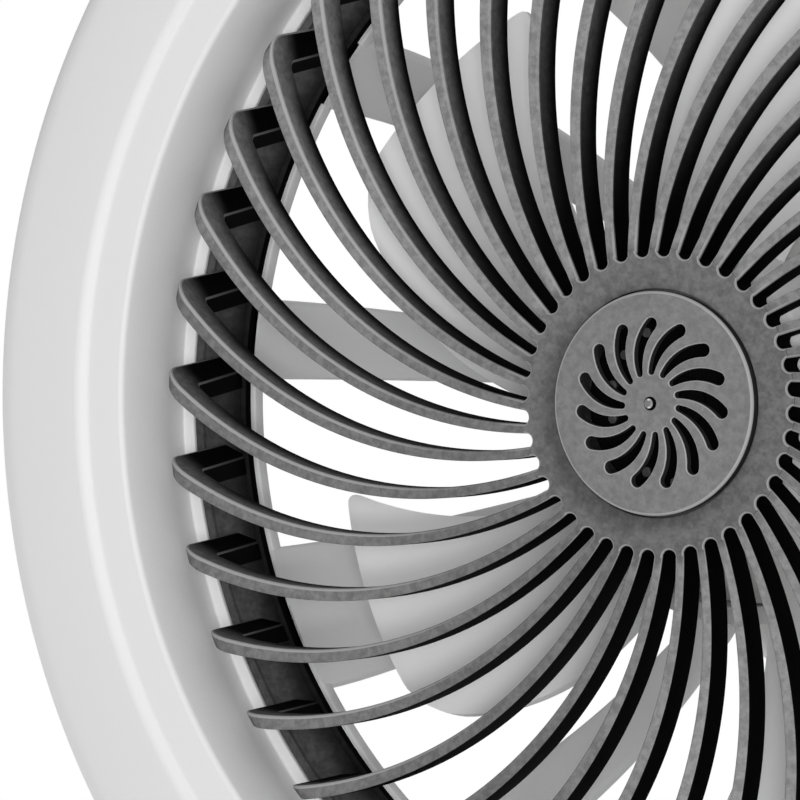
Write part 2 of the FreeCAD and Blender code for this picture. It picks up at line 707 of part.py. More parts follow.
def stem():
    body = lathe(at(STEM_BORE_R, hub_back_d), at(stem_flange_r, hub_back_d), at(stem_flange_r, stem_d),
                 at(STEM_R, stem_d), at(STEM_R, canopy_d), at(NIPPLE_R, canopy_d),
                 at(NIPPLE_R, canopy_d + NIPPLE_L), at(STEM_BORE_R, canopy_d + NIPPLE_L))
    return body.cut(screw_holes(STEM_SCREW, stem_screw_r, stem_d, STEM_SCREW_COUNT))


def stem_washer():
    return ring(NIPPLE_R + FIT_GAP, WASHER_R, canopy_floor_d, WASHER_T)


def stem_nut():
    depth = canopy_floor_d + WASHER_T
    corner_r = NUT_FLATS / math.sqrt(3)
    points = [at(corner_r, depth, 60 * index) for index in range(6)]
    hexagon = Part.Face(outline(*points)).extrude(UP * NUT_T)
    return hexagon.cut(disc(NIPPLE_R + FIT_GAP, depth, NUT_T))


def grub_depth():
    return cover_top_d + COLLAR_H / 2


def motor_cover():
    bore_r = STEM_R + SEAT_GAP
    shoulder_r = cup_r - COVER_ROUND
    shoulder_d = cover_top_d - COVER_ROUND
    shell = lathe(at(cup_r, cup_back_d), at(cup_r, shoulder_d),
                  (corner(shoulder_r, shoulder_d, COVER_ROUND, 1, 1), at(shoulder_r, cover_top_d)),
                  at(collar_r, cover_top_d), at(collar_r, cover_top_d + COLLAR_H),
                  at(bore_r, cover_top_d + COLLAR_H), at(bore_r, cover_top_d - COVER_T),
                  at(shoulder_r, cover_top_d - COVER_T),
                  (corner(shoulder_r, shoulder_d, COVER_ROUND - COVER_T, 1, 1),
                   at(cup_r - COVER_T, shoulder_d)),
                  at(cup_r - COVER_T, cup_back_d))
    hole = Part.makeCylinder(GRUB_R + FIT_GAP, collar_r, at(0, grub_depth()), Vector(1, 0, 0))
    return shell.cut(hole)


def cover_grub_screw():
    grub = Part.makeCylinder(GRUB_R, collar_r - STEM_R, at(STEM_R, grub_depth()), Vector(1, 0, 0))
    return grub


def canopy():
    bore_r = NIPPLE_R + SEAT_GAP
    rim_d = canopy_d + CANOPY_H
    bend_r = CANOPY_R - CANOPY_ROUND
    bend_d = canopy_d + CANOPY_ROUND
    shell = lathe(at(bore_r, canopy_d), at(bend_r, canopy_d),
                  (corner(bend_r, bend_d, CANOPY_ROUND, 1, -1), at(CANOPY_R, bend_d)),
                  at(CANOPY_R, rim_d), at(canopy_bore_r, rim_d), at(canopy_bore_r, bend_d),
                  (corner(bend_r, bend_d, CANOPY_ROUND - CANOPY_T, 1, -1), at(bend_r, canopy_floor_d)),
                  at(bore_r, canopy_floor_d))
    return shell.cut(canopy_screw_hole())


def canopy_screw_hole():
    start = Vector(-CANOPY_R, 0, -CANOPY_SCREW_DROP)
    return Part.makeCylinder(CANOPY_SCREW[0] + FIT_GAP, 2 * CANOPY_R, start, Vector(1, 0, 0))


def canopy_screws():
    shank_r, head_r, head_h, length = CANOPY_SCREW
    seat = Vector(CANOPY_R, 0, -CANOPY_SCREW_DROP)
    shank = Part.makeCylinder(shank_r, length, seat - Vector(length, 0, 0), Vector(1, 0, 0))
    head = Part.makeCylinder(head_r, head_h, seat, Vector(1, 0, 0))
    return Part.makeCompound(around(shank.fuse(head).removeSplitter(), 2))


def ceiling_bracket():
    strap = box((2 * ear_x, STRAP_W, STRAP_T), Vector(-ear_x, -STRAP_W / 2, -STRAP_T))
    ear = box((STRAP_T, STRAP_W, EAR_H), Vector(ear_x - STRAP_T, -STRAP_W / 2, -EAR_H))
    body = strap.fuse(around(ear, 2))
    run = SLOT_L - 2 * SLOT_R
    first = Vector((SLOT_SPACING - run) / 2, 0, -STRAP_T)
    slot = Part.makeCylinder(SLOT_R, STRAP_T, first)
    slot = slot.fuse([Part.makeCylinder(SLOT_R, STRAP_T, first + Vector(run, 0, 0)),
                      box((run, 2 * SLOT_R, STRAP_T), first - Vector(0, SLOT_R, 0))]).removeSplitter()
    lead_hole = Part.makeCylinder(GROMMET_R + FIT_GAP, STRAP_T, Vector(0, 0, -STRAP_T))
    return body.cut(around(slot, 2) + [lead_hole, canopy_screw_hole()]).removeSplitter()


def cable_grommet():
    low_d = ceiling_d - STRAP_T
    flange_r = GROMMET_R + GROMMET_FLANGE_W
    return lathe(at(GROMMET_BORE_R, ceiling_d), at(GROMMET_R, ceiling_d), at(GROMMET_R, low_d),
                 at(flange_r, low_d), at(flange_r, low_d - GROMMET_FLANGE_T),
                 at(GROMMET_BORE_R, low_d - GROMMET_FLANGE_T))


def terminal_poles():
    """The x of each terminal pole."""
    pitch = TERMINAL_L / TERMINAL_POLES
    return [(index + 0.5) * pitch - TERMINAL_L / 2 for index in range(TERMINAL_POLES)]


def terminal_spot(x, depth):
    return at(0, canopy_floor_d + depth) + Vector(x, -WASHER_R - TERMINAL_OFFSET - TERMINAL_W / 2, 0)


def terminal_block():
    low = terminal_spot(-TERMINAL_L / 2, 0) - Vector(0, TERMINAL_W / 2, 0)
    block = box((TERMINAL_L, TERMINAL_W, TERMINAL_H), low)
    cuts = []
    for x in terminal_poles():
        entry = terminal_spot(x, TERMINAL_H / 3) - Vector(0, TERMINAL_W / 2, 0)
        cuts.append(Part.makeCylinder(TERMINAL_HOLE_R, TERMINAL_W, entry, Vector(0, 1, 0)))
        cuts.append(Part.makeCylinder(TERMINAL_SCREW_R + FIT_GAP, TERMINAL_SCREW_L,
                                      terminal_spot(x, TERMINAL_H - TERMINAL_SCREW_L)))
    return block.cut(cuts)


def terminal_screws():
    depth = TERMINAL_H - TERMINAL_SCREW_L
    return Part.makeCompound([Part.makeCylinder(TERMINAL_SCREW_R, TERMINAL_SCREW_L - SEAT_GAP,
                                                terminal_spot(x, depth)) for x in terminal_poles()])


def driver_spot(x, y, depth):
    """A point in the driver case: x from its middle, y from its near wall, depth from its underside."""
    return at(0, canopy_floor_d + depth) + Vector(x, WASHER_R + DRIVER_OFFSET + y, 0)


driver_board_d = DRIVER_WALL + DRIVER_POST_H
driver_part_d = driver_board_d + DRIVER_BOARD_T
driver_board_l = DRIVER_L - 2 * (DRIVER_WALL + DRIVER_BOARD_GAP)
driver_board_w = DRIVER_W - 2 * (DRIVER_WALL + DRIVER_BOARD_GAP)


def driver_case():
    outer = box((DRIVER_L, DRIVER_W, DRIVER_H), driver_spot(-DRIVER_L / 2, 0, 0))
    inner = box((DRIVER_L - 2 * DRIVER_WALL, DRIVER_W - 2 * DRIVER_WALL, DRIVER_H),
                driver_spot(DRIVER_WALL - DRIVER_L / 2, DRIVER_WALL, DRIVER_WALL))
    posts = []
    for x_side in (-1, 1):
        for y_side in (-1, 1):
            x = x_side * (driver_board_l / 2 - DRIVER_POST_R)
            y = DRIVER_W / 2 + y_side * (driver_board_w / 2 - DRIVER_POST_R)
            posts.append(Part.makeCylinder(DRIVER_POST_R, driver_board_d, driver_spot(x, y, 0)))
    return outer.cut(inner).fuse(posts).removeSplitter()


def driver_lid():
    return box((DRIVER_L, DRIVER_W, DRIVER_WALL), driver_spot(-DRIVER_L / 2, 0, DRIVER_H))


def driver_board():
    low = driver_spot(-driver_board_l / 2, DRIVER_WALL + DRIVER_BOARD_GAP, driver_board_d)
    return box((driver_board_l, driver_board_w, DRIVER_BOARD_T), low)


def driver_capacitor():
    start = driver_spot(-driver_board_l / 2 + DRIVER_POST_R, DRIVER_W / 2, driver_part_d + CAPACITOR_R)
    return Part.makeCylinder(CAPACITOR_R, CAPACITOR_L, start, Vector(1, 0, 0))


def driver_transformer():
    x = driver_board_l / 2 - DRIVER_POST_R - TRANSFORMER_L
    low = driver_spot(x, (DRIVER_W - TRANSFORMER_W) / 2, driver_part_d)
    block = box((TRANSFORMER_L, TRANSFORMER_W, TRANSFORMER_H), low)
    return block.makeFillet(1.0, [edge for edge in block.Edges if edge.BoundBox.ZLength > 1.0])


def screws(kind, radius, head_depth, count):
    return Part.makeCompound(around(screw(kind, radius, head_depth), count))


NODES = {
    "front_bezel": front_bezel(),
    "rear_housing": rear_housing(),
    "bezel_screws": screws(CASE_SCREW, case_screw_r, CASING_D, CASE_SCREW_COUNT),
    "grille": grille(),
    "grille_legs": grille_legs(),
    "grille_base": grille_base(),
    "grille_screws": screws(GRILLE_SCREW, grille_screw_r, CASING_D, GRILLE_SCREW_COUNT),
    "hub_cap": hub_cap(),
    "impeller": impeller(),
    "rotor_can": rotor_can(),
    "rotor_magnet": rotor_magnet(),
    "rotor_boss": rotor_boss(),
    "hub_rivets": hub_rivets(),
    "motor_shaft": motor_shaft(),
    "shaft_clip": shaft_clip(),
    "front_bearing": bearing(front_bearing_d),
    "rear_bearing": bearing(rear_bearing_d),
    "bearing_holder": bearing_holder(),
    "stator_core": stator_core(),
    "stator_insulators": stator_insulators(),
    "stator_windings": stator_windings(),
    "motor_board": motor_board(),
    "hall_sensors": hall_sensors(),
    "motor_base": motor_base(),
    "motor_screws": screws(MOTOR_SCREW, motor_screw_r, hub_back_d, MOTOR_SCREW_COUNT),
    "stem": stem(),
    "stem_screws": screws(STEM_SCREW, stem_screw_r, stem_d, STEM_SCREW_COUNT),
    "stem_washer": stem_washer(),
    "stem_nut": stem_nut(),
    "motor_cover": motor_cover(),
    "cover_grub_screw": cover_grub_screw(),
    "canopy": canopy(),
    "canopy_screws": canopy_screws(),
    "ceiling_bracket": ceiling_bracket(),
    "cable_grommet": cable_grommet(),
    "terminal_block": terminal_block(),
    "terminal_screws": terminal_screws(),
    "driver_case": driver_case(),
    "driver_lid": driver_lid(),
    "driver_board": driver_board(),
    "driver_capacitor": driver_capacitor(),
    "driver_transformer": driver_transformer(),
}

os.makedirs("parts", exist_ok=True)
for name, shape in NODES.items():
    shape.exportStep("parts/" + name + ".step")
    print(name, len(shape.Solids), round(shape.Volume), shape.isValid())
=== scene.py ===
import math

import bmesh
import bpy
from mathutils import Matrix, Vector


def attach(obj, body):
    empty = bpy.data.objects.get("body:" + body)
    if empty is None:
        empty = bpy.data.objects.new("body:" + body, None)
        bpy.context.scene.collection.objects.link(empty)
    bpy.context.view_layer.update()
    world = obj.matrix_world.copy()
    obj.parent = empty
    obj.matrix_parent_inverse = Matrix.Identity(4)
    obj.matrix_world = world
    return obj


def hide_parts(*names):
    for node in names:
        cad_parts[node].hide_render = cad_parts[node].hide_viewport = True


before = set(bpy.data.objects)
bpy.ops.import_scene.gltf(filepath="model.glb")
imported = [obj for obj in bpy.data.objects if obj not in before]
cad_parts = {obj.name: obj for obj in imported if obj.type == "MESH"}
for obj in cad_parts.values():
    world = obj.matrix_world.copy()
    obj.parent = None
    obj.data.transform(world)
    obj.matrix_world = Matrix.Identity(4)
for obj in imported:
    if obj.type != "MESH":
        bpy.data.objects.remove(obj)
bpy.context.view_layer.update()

# Ceiling bracket: a strip of galvanised steel with two slots for the ceiling screws and an ear
# bent down at each end. The canopy's side screws go through the ears.
MM = 0.001
SPANGLE_PER_M = 140.0
SPANGLE_DARK = (0.44, 0.45, 0.46)
SPANGLE_LIGHT = (0.66, 0.67, 0.68)
SPANGLE_ROUGHNESS = (0.30, 0.55)


def node_tree(material, roughness, metallic=0.0):
    """A material's node tree, its shader and the place of each point on the piece."""
    material.use_nodes = True
    tree = material.node_tree
    shader = tree.nodes["Principled BSDF"]
    shader.inputs["Roughness"].default_value = roughness
    shader.inputs["Metallic"].default_value = metallic
    place = tree.nodes.new("ShaderNodeTexCoord").outputs["Object"]
    return tree, shader, place


def between(tree, mask, low, high):
    """A colour, or a number, that goes from low to high with a mask."""
    colours = isinstance(low, tuple) or isinstance(high, tuple)
    mix = tree.nodes.new("ShaderNodeMix")
    mix.data_type = "RGBA" if colours else "FLOAT"
    tree.links.new(mask, mix.inputs[0])
    # Colours are the node's inputs 6 and 7 and output 2, numbers its inputs 2 and 3 and output 0.
    first = 6 if colours else 2
    for index, value in ((first, low), (first + 1, high)):
        if isinstance(value, bpy.types.NodeSocket):
            tree.links.new(value, mix.inputs[index])
        else:
            mix.inputs[index].default_value = (*value, 1.0) if colours else value
    return mix.outputs[2 if colours else 0]


def shade(colour, factor):
    """A colour made darker or lighter by a factor."""
    return tuple(min(1.0, part * factor) for part in colour)


def toned(tree, tone, colour, low, high):
    """A colour that goes with a tone from a low to a high share of itself."""
    return between(tree, tone, shade(colour, low), shade(colour, high))


def dress(material, *names):
    """Gives solids of the frame their finish."""
    for name in names:
        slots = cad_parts[name].data.materials
        slots.clear()
        slots.append(material)


galvanised = bpy.data.materials.new("galvanised_strip")
tree, shader, place = node_tree(galvanised, roughness=0.42, metallic=1.0)
spangle = tree.nodes.new("ShaderNodeTexVoronoi")
spangle.inputs["Scale"].default_value = SPANGLE_PER_M
tree.links.new(place, spangle.inputs["Vector"])
crystal = tree.nodes.new("ShaderNodeSeparateColor")
tree.links.new(spangle.outputs["Color"], crystal.inputs["Color"])
spangle_colour = between(tree, crystal.outputs[0], SPANGLE_DARK, SPANGLE_LIGHT)
tree.links.new(spangle_colour, shader.inputs["Base Color"])
tree.links.new(between(tree, crystal.outputs[1], *SPANGLE_ROUGHNESS), shader.inputs["Roughness"])
dress(galvanised, "ceiling_bracket")

# Cable grommet: a soft black rubber bush pressed into the bracket's middle hole, which keeps the
# supply cable off the steel edge.
MOULD_TONE_PER_M = 22.0
FINE_SHARE = 0.35
GRAIN_HEIGHT = 0.2

# This node group gives the fine grain of a moulding tool and the slow drift of its tone.
moulded_grain = bpy.data.node_groups.new("moulded_grain", "ShaderNodeTree")
sockets = moulded_grain.interface
sockets.new_socket("Place", in_out="INPUT", socket_type="NodeSocketVector")
sockets.new_socket("Grain per metre", in_out="INPUT", socket_type="NodeSocketFloat")
sockets.new_socket("Height", in_out="OUTPUT", socket_type="NodeSocketFloat")
sockets.new_socket("Tone", in_out="OUTPUT", socket_type="NodeSocketFloat")
inside = moulded_grain.nodes
entry = inside.new("NodeGroupInput")
leave = inside.new("NodeGroupOutput")
fine = inside.new("ShaderNodeTexNoise")
fine.inputs["Detail"].default_value = 3.0
fine.inputs["Roughness"].default_value = 0.6
slow = inside.new("ShaderNodeTexNoise")
slow.inputs["Scale"].default_value = MOULD_TONE_PER_M
slow.inputs["Detail"].default_value = 4.0
blend = inside.new("ShaderNodeMix")
blend.inputs[0].default_value = FINE_SHARE
for start, end in ((entry.outputs["Place"], fine.inputs["Vector"]),
                   (entry.outputs["Grain per metre"], fine.inputs["Scale"]),
                   (entry.outputs["Place"], slow.inputs["Vector"]),
                   (slow.outputs["Fac"], blend.inputs[2]),
                   (fine.outputs["Fac"], blend.inputs[3]),
                   (fine.outputs["Fac"], leave.inputs["Height"]),
                   (blend.outputs[0], leave.inputs["Tone"])):
    moulded_grain.links.new(start, end)


def grain_nodes(material, roughness, grain_per_m, relief, spread=0.06):
    """Starts a material with the tool's grain: its node tree, shader, place and tone."""
    tree, shader, place = node_tree(material, roughness)
    grain = tree.nodes.new("ShaderNodeGroup")
    grain.node_tree = moulded_grain
    grain.inputs["Grain per metre"].default_value = grain_per_m
    tree.links.new(place, grain.inputs["Place"])
    tone = grain.outputs["Tone"]
    bump = tree.nodes.new("ShaderNodeBump")
    bump.inputs["Strength"].default_value = relief
    bump.inputs["Distance"].default_value = GRAIN_HEIGHT * MM
    tree.links.new(grain.outputs["Height"], bump.inputs["Height"])
    tree.links.new(bump.outputs["Normal"], shader.inputs["Normal"])
    tree.links.new(between(tree, tone, roughness - spread, roughness + spread), shader.inputs["Roughness"])
    return tree, shader, place, tone


def moulding(name, colour, roughness, grain_per_m=1800.0, relief=0.25, drift=0.05):
    """A moulded finish of one colour, a little darker and lighter from place to place."""
    material = bpy.data.materials.new(name)
    tree, shader, _, tone = grain_nodes(material, roughness, grain_per_m, relief)
    tree.links.new(toned(tree, tone, colour, 1 - drift, 1 + drift), shader.inputs["Base Color"])
    return material


rubber = moulding("grommet_rubber", (0.022, 0.022, 0.023), 0.75, grain_per_m=900.0, relief=0.4, drift=0.2)
dress(rubber, "cable_grommet")

# Terminal block: three screw terminals in a strip of natural nylon, where the supply cable joins
# the fan's own wires. The brass clamp screws stand in its top.
LINES_PER_M = 1500.0
LINE_SPREAD = 0.08
LINE_RELIEF = 0.12
LINE_HEIGHT = 0.1
LINES_ALONG_Z = (1.0, 1.0, 0.1)


def plated(name, colour, roughness, lines_per_m=LINES_PER_M, stretch=LINES_ALONG_Z, drift=0.08):
    """Turned, drawn or plated metal: fine lines run along the stretched axis of its noise."""
    material = bpy.data.materials.new(name)
    tree, shader, place = node_tree(material, roughness, metallic=1.0)
    mapping = tree.nodes.new("ShaderNodeMapping")
    mapping.inputs["Scale"].default_value = stretch
    tree.links.new(place, mapping.inputs["Vector"])
    lines = tree.nodes.new("ShaderNodeTexNoise")
    lines.inputs["Scale"].default_value = lines_per_m
    lines.inputs["Detail"].default_value = 2.0
    tree.links.new(mapping.outputs["Vector"], lines.inputs["Vector"])
    mask = lines.outputs["Fac"]
    tree.links.new(toned(tree, mask, colour, 1 - drift, 1 + drift), shader.inputs["Base Color"])
    gloss = between(tree, mask, roughness - LINE_SPREAD, roughness + LINE_SPREAD)
    tree.links.new(gloss, shader.inputs["Roughness"])
    bump = tree.nodes.new("ShaderNodeBump")
    bump.inputs["Strength"].default_value = LINE_RELIEF
    bump.inputs["Distance"].default_value = LINE_HEIGHT * MM
    tree.links.new(mask, bump.inputs["Height"])
    tree.links.new(bump.outputs["Normal"], shader.inputs["Normal"])
    return material


nylon = moulding("terminal_nylon", (0.78, 0.76, 0.68), 0.38, grain_per_m=1200.0, relief=0.1)
dress(nylon, "terminal_block")
dress(plated("clamp_brass", (0.62, 0.46, 0.19), 0.32), "terminal_screws")

# Driver: the small supply that feeds the motor, in a snap-together white case beside the stem.
# Its green board carries a capacitor in a dark sleeve and a transformer bound in yellow tape.
case_white = moulding("driver_white", (0.76, 0.76, 0.75), 0.45)
board_green = moulding("board_mask", (0.018, 0.13, 0.045), 0.3, grain_per_m=600.0, relief=0.15, drift=0.18)
sleeve = moulding("capacitor_sleeve", (0.012, 0.017, 0.05), 0.25, grain_per_m=500.0, relief=0.05)
tape = moulding("winding_tape", (0.62, 0.42, 0.05), 0.3, grain_per_m=700.0, relief=0.2, drift=0.1)
dress(case_white, "driver_case", "driver_lid")
dress(board_green, "driver_board")
dress(sleeve, "driver_capacitor")
dress(tape, "driver_transformer")

# Stem: a turned steel tube in white powder coat, flanged at its foot for the motor plate and
# threaded at its head for the nut that holds it to the canopy.
FACE = -132.0
NEAR = 0.001 * MM


def spot(radius, depth, degrees=0.0):
    """A place by its radius, its depth behind the grille's face and its angle, sizes in millimetres."""
    angle = math.radians(degrees)
    return Vector((radius * math.cos(angle), radius * math.sin(angle), FACE + depth)) * MM


def drawn(name, points):
    """A new piece, in edit mode: a line drawn from point to point."""
    bpy.ops.mesh.primitive_plane_add(size=MM)
    piece = bpy.context.object
    piece.name = piece.data.name = name
    bpy.ops.object.mode_set(mode="EDIT")
    bpy.ops.mesh.select_mode(type="VERT")
    bpy.ops.mesh.merge(type="CENTER")
    bpy.ops.transform.translate(value=points[0])
    for here, there in zip(points, points[1:]):
        bpy.ops.mesh.extrude_vertices_move(TRANSFORM_OT_translate={"value": there - here})
    return piece


def pick(piece, kind, test):
    """Selects, in edit mode, the points, edges or faces that pass a test, and nothing else."""
    bpy.ops.mesh.select_mode(type=kind)
    bpy.ops.mesh.select_all(action="DESELECT")
    mesh = bmesh.from_edit_mesh(piece.data)
    for item in {"VERT": mesh.verts, "EDGE": mesh.edges, "FACE": mesh.faces}[kind]:
        if test(item):
            item.select_set(True)
    mesh.select_flush_mode()
    bmesh.update_edit_mesh(piece.data)


def ease(piece, corner, setback, segments=0):
    """Rounds one drawn corner, starting a setback away from it on each side."""
    pick(piece, "VERT", lambda point: (point.co - corner).length < NEAR)
    segments = segments or 3 + min(7, int(2 * setback))
    bpy.ops.mesh.bevel(offset=setback * MM, segments=segments, affect="VERTICES")


def close_up(piece):
    """Merges the seams of a spun or bridged shape, turns its faces outwards and leaves edit mode."""
    bpy.ops.mesh.select_all(action="SELECT")
    bpy.ops.mesh.remove_doubles(threshold=NEAR)
    bpy.ops.mesh.delete_loose()
    bpy.ops.mesh.select_all(action="SELECT")
    bpy.ops.mesh.normals_make_consistent(inside=False)
    bpy.ops.object.mode_set(mode="OBJECT")


def section_face(name, section):
    """A flat section, in edit mode: corners of (radius, depth, setback), eased and filled."""
    corners = [spot(radius, depth) for radius, depth, _ in section]
    piece = drawn(name, corners)
    bpy.ops.mesh.select_all(action="SELECT")
    bpy.ops.mesh.edge_face_add()
    for corner, (_, _, setback) in zip(corners, section):
        if setback:
            ease(piece, corner, setback)
    return piece


def spin(steps, angle=2 * math.pi, copies=False):
    """Spins all that is drawn, or copies of it, about the fan's axis."""
    bpy.ops.mesh.select_all(action="SELECT")
    bpy.ops.mesh.spin(steps=steps, dupli=copies, angle=angle, center=(0, 0, 0), axis=(0, 0, 1))


def turned(name, section, steps):
    """A turned piece: a section spun about the fan's axis."""
    piece = section_face(name, section)
    bpy.ops.mesh.select_all(action="SELECT")
    bpy.ops.mesh.delete(type="ONLY_FACE")
    spin(steps)
    close_up(piece)
    return piece


def only(piece):
    """Selects one piece, and no other, and makes it active."""
    bpy.ops.object.select_all(action="DESELECT")
    piece.select_set(True)
    bpy.context.view_layer.objects.active = piece


def smooth(piece, degrees=35.0):
    """Smooth shading, with creases kept where faces meet at more than an angle."""
    only(piece)
    bpy.ops.object.shade_smooth_by_angle(angle=math.radians(degrees))


STEM_R = 10.5
STEM_BORE_R = 4.5
STEM_FLANGE_R = 24.0
STEM_FOOT_D = 39.0
STEM_FLANGE_D = 42.0
CANOPY_D = 98.0
NIPPLE_R = 6.9
NIPPLE_TOP_D = 112.0
coat_white = moulding(
    "powder_coat_white", (0.74, 0.74, 0.735), 0.36, grain_per_m=420.0, relief=0.22, drift=0.025)
stem = turned("stem_tube", [
    (STEM_BORE_R, STEM_FOOT_D, 0.4), (STEM_FLANGE_R, STEM_FOOT_D, 0.5),
    (STEM_FLANGE_R, STEM_FLANGE_D, 0.8), (STEM_R, STEM_FLANGE_D, 1.5), (STEM_R, CANOPY_D, 0.8),
    (NIPPLE_R, CANOPY_D, 0.3), (NIPPLE_R, NIPPLE_TOP_D, 0.6), (STEM_BORE_R, NIPPLE_TOP_D, 0.4)], steps=96)
smooth(stem)
stem.data.materials.append(coat_white)
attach(stem, "housing")
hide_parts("stem")

# Stem nut, washer and flange screws: bright zinc-plated steel. The nut pulls the stem's shoulder
# up against the canopy; four screws hold the flange to the motor plate.
zinc = plated("zinc_plate", (0.60, 0.60, 0.57), 0.34)
dress(zinc, "stem_washer", "stem_nut", "stem_screws", "cover_grub_screw")

# Canopy: a shallow drawn-steel bowl in the same white powder coat, which hides the bracket and
# the wiring. It is held by a screw through each side into the bracket's ears.
CANOPY_R = 58.0
CANOPY_RIM_D = 131.4
CANOPY_WALL = 1.6
CANOPY_ROUND = 8.0
CANOPY_HOLE_R = 7.2
canopy = turned("canopy_bowl", [
    (CANOPY_HOLE_R, CANOPY_D, 0.3), (CANOPY_R, CANOPY_D, CANOPY_ROUND), (CANOPY_R, CANOPY_RIM_D, 0.5),
    (CANOPY_R - CANOPY_WALL, CANOPY_RIM_D, 0.5),
    (CANOPY_R - CANOPY_WALL, CANOPY_D + CANOPY_WALL, CANOPY_ROUND - CANOPY_WALL),
    (CANOPY_HOLE_R, CANOPY_D + CANOPY_WALL, 0.3)], steps=192)
smooth(canopy)
canopy.data.materials.append(coat_white)
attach(canopy, "housing")
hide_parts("canopy")

# Canopy screws: two nickel-bright pan heads with a cross recess, one on each side of the bowl.
# They are turned standing up at the axis and then laid on their sides.
CANOPY_SCREW_DROP = 13.0
RECESS_LONG = 1.15
RECESS_WIDE = 0.26
RECESS_DEEP = 1.1


def cut(piece, tool):
    """Cuts a tool's shape out of a piece, then throws the tool away."""
    only(piece)
    boolean = piece.modifiers.new("tool", "BOOLEAN")
    boolean.object = tool
    boolean.operation = "DIFFERENCE"
    boolean.solver = "EXACT"
    bpy.ops.object.modifier_apply(modifier=boolean.name)
    bpy.data.objects.remove(tool)


def cross_screw(name, shank_r, head_r, head_h, length, radius, seat_d):
    """A pan head screw standing on its seat at a radius, head up, with a cross recess in its head."""
    floor_d = seat_d - length
    screw = turned(name, [
        (0.0, floor_d, 0), (0.55 * shank_r, floor_d, 0), (shank_r, floor_d + shank_r, 0.2),
        (shank_r, seat_d, 0), (head_r, seat_d, 0.15), (head_r, seat_d + 0.45 * head_h, 0.3),
        (0.72 * head_r, seat_d + head_h, 0.5 * head_h), (0.0, seat_d + head_h, 0)], steps=40)
    top = spot(0, seat_d + head_h)
    long = RECESS_LONG * head_r * MM
    wide = RECESS_WIDE * head_r * MM
    for across in ((long, wide), (wide, long)):
        size = (*across, RECESS_DEEP * head_h * MM)
        bpy.ops.mesh.primitive_cube_add(size=1.0, location=top, scale=size)
        slot = bpy.context.object
        bpy.ops.object.transform_apply(location=True, rotation=True, scale=True)
        cut(screw, slot)
    screw.data.transform(Matrix.Translation((radius * MM, 0, 0)))
    return screw


def ring_of(piece, count, first_degrees=0.0):
    """Repeats a finished piece round the axis, all in one mesh."""
    piece.data.transform(Matrix.Rotation(math.radians(first_degrees), 4, "Z"))
    only(piece)
    bpy.ops.object.mode_set(mode="EDIT")
    spin(count, copies=True)
    bpy.ops.mesh.select_all(action="SELECT")
    bpy.ops.mesh.remove_doubles(threshold=NEAR)
    bpy.ops.object.mode_set(mode="OBJECT")


canopy_screws = cross_screw(
    "canopy_cross_screws", shank_r=2.0, head_r=4.0, head_h=3.0, length=8.0, radius=0.0, seat_d=0.0)
to_origin = Matrix.Translation((0, 0, -FACE * MM))
sideways = Matrix.Rotation(math.pi / 2, 4, "Y")
to_bowl = Matrix.Translation((CANOPY_R * MM, 0, -CANOPY_SCREW_DROP * MM))
canopy_screws.data.transform(to_bowl @ sideways @ to_origin)
ring_of(canopy_screws, count=2)
smooth(canopy_screws)
canopy_screws.data.materials.append(plated("nickel_plate", (0.66, 0.65, 0.63), 0.24))
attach(canopy_screws, "housing")
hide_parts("canopy_screws")

# Rear housing: one moulding of white plastic, given a pale grey as painted shade for its place behind
# the grille. A flat back ring with a rolled edge carries twelve spokes that rise as a dome to the motor
# cup; every third spoke is wide.
CASING_R = 132.2
CASING_WALL = 2.4
CASING_D = 31.0
BACK_D = 28.0
PARTING_D = 23.2
HOUSING_BORE_R = 92.35
SPOKE_ARC_R = 51.4
SPOKE_ARC_STEPS = 20
SPOKE_D = 74.8
SPOKE_T = 3.0
SPOKE_DEG = 8.4
WIDE_SPOKE_DEG = 15.8
SPOKE_PHASE_DEG = 6.0
WIDE_PHASE_DEG = 66.0
CUP_BORE_R = 32.86
CUP_R = 35.86
CUP_TOP_D = 77.8
HUB_PLATE_D = 36.0
LEAD_HOLE_R = 6.3
SPOKE_COUNT = 12
WIDE_COUNT = 4
SPOKE_END_R = CUP_BORE_R + 1.5
SPOKE_EDGE = 0.7
SPOKE_SPIN_STEPS = 6
SHARP = 1.0
housing_shaded_white = moulding("housing_white_painted_shade", (0.66, 0.66, 0.66), 0.55, 2200.0, relief=0.2, drift=0.06)
arc_middle_d = SPOKE_D - SPOKE_ARC_R
arc_middle_r = HOUSING_BORE_R - math.sqrt(SPOKE_ARC_R ** 2 - (BACK_D - arc_middle_d) ** 2)


def spoke_arc(arc_r):
    """The rise of a spoke's face or back, from the back ring to where the spoke runs flat."""
    foot = math.asin((BACK_D - arc_middle_d) / arc_r)
    arc = []
    for step in range(SPOKE_ARC_STEPS + 1):
        turn = foot + (math.pi / 2 - foot) * step / SPOKE_ARC_STEPS
        arc.append((arc_middle_r + arc_r * math.cos(turn), arc_middle_d + arc_r * math.sin(turn), 0))
    return arc


spoke_end = [(SPOKE_END_R, SPOKE_D, 0), (SPOKE_END_R, CUP_TOP_D, 0)]
spoke_section = spoke_arc(SPOKE_ARC_R) + spoke_end + spoke_arc(SPOKE_ARC_R + SPOKE_T)[::-1]


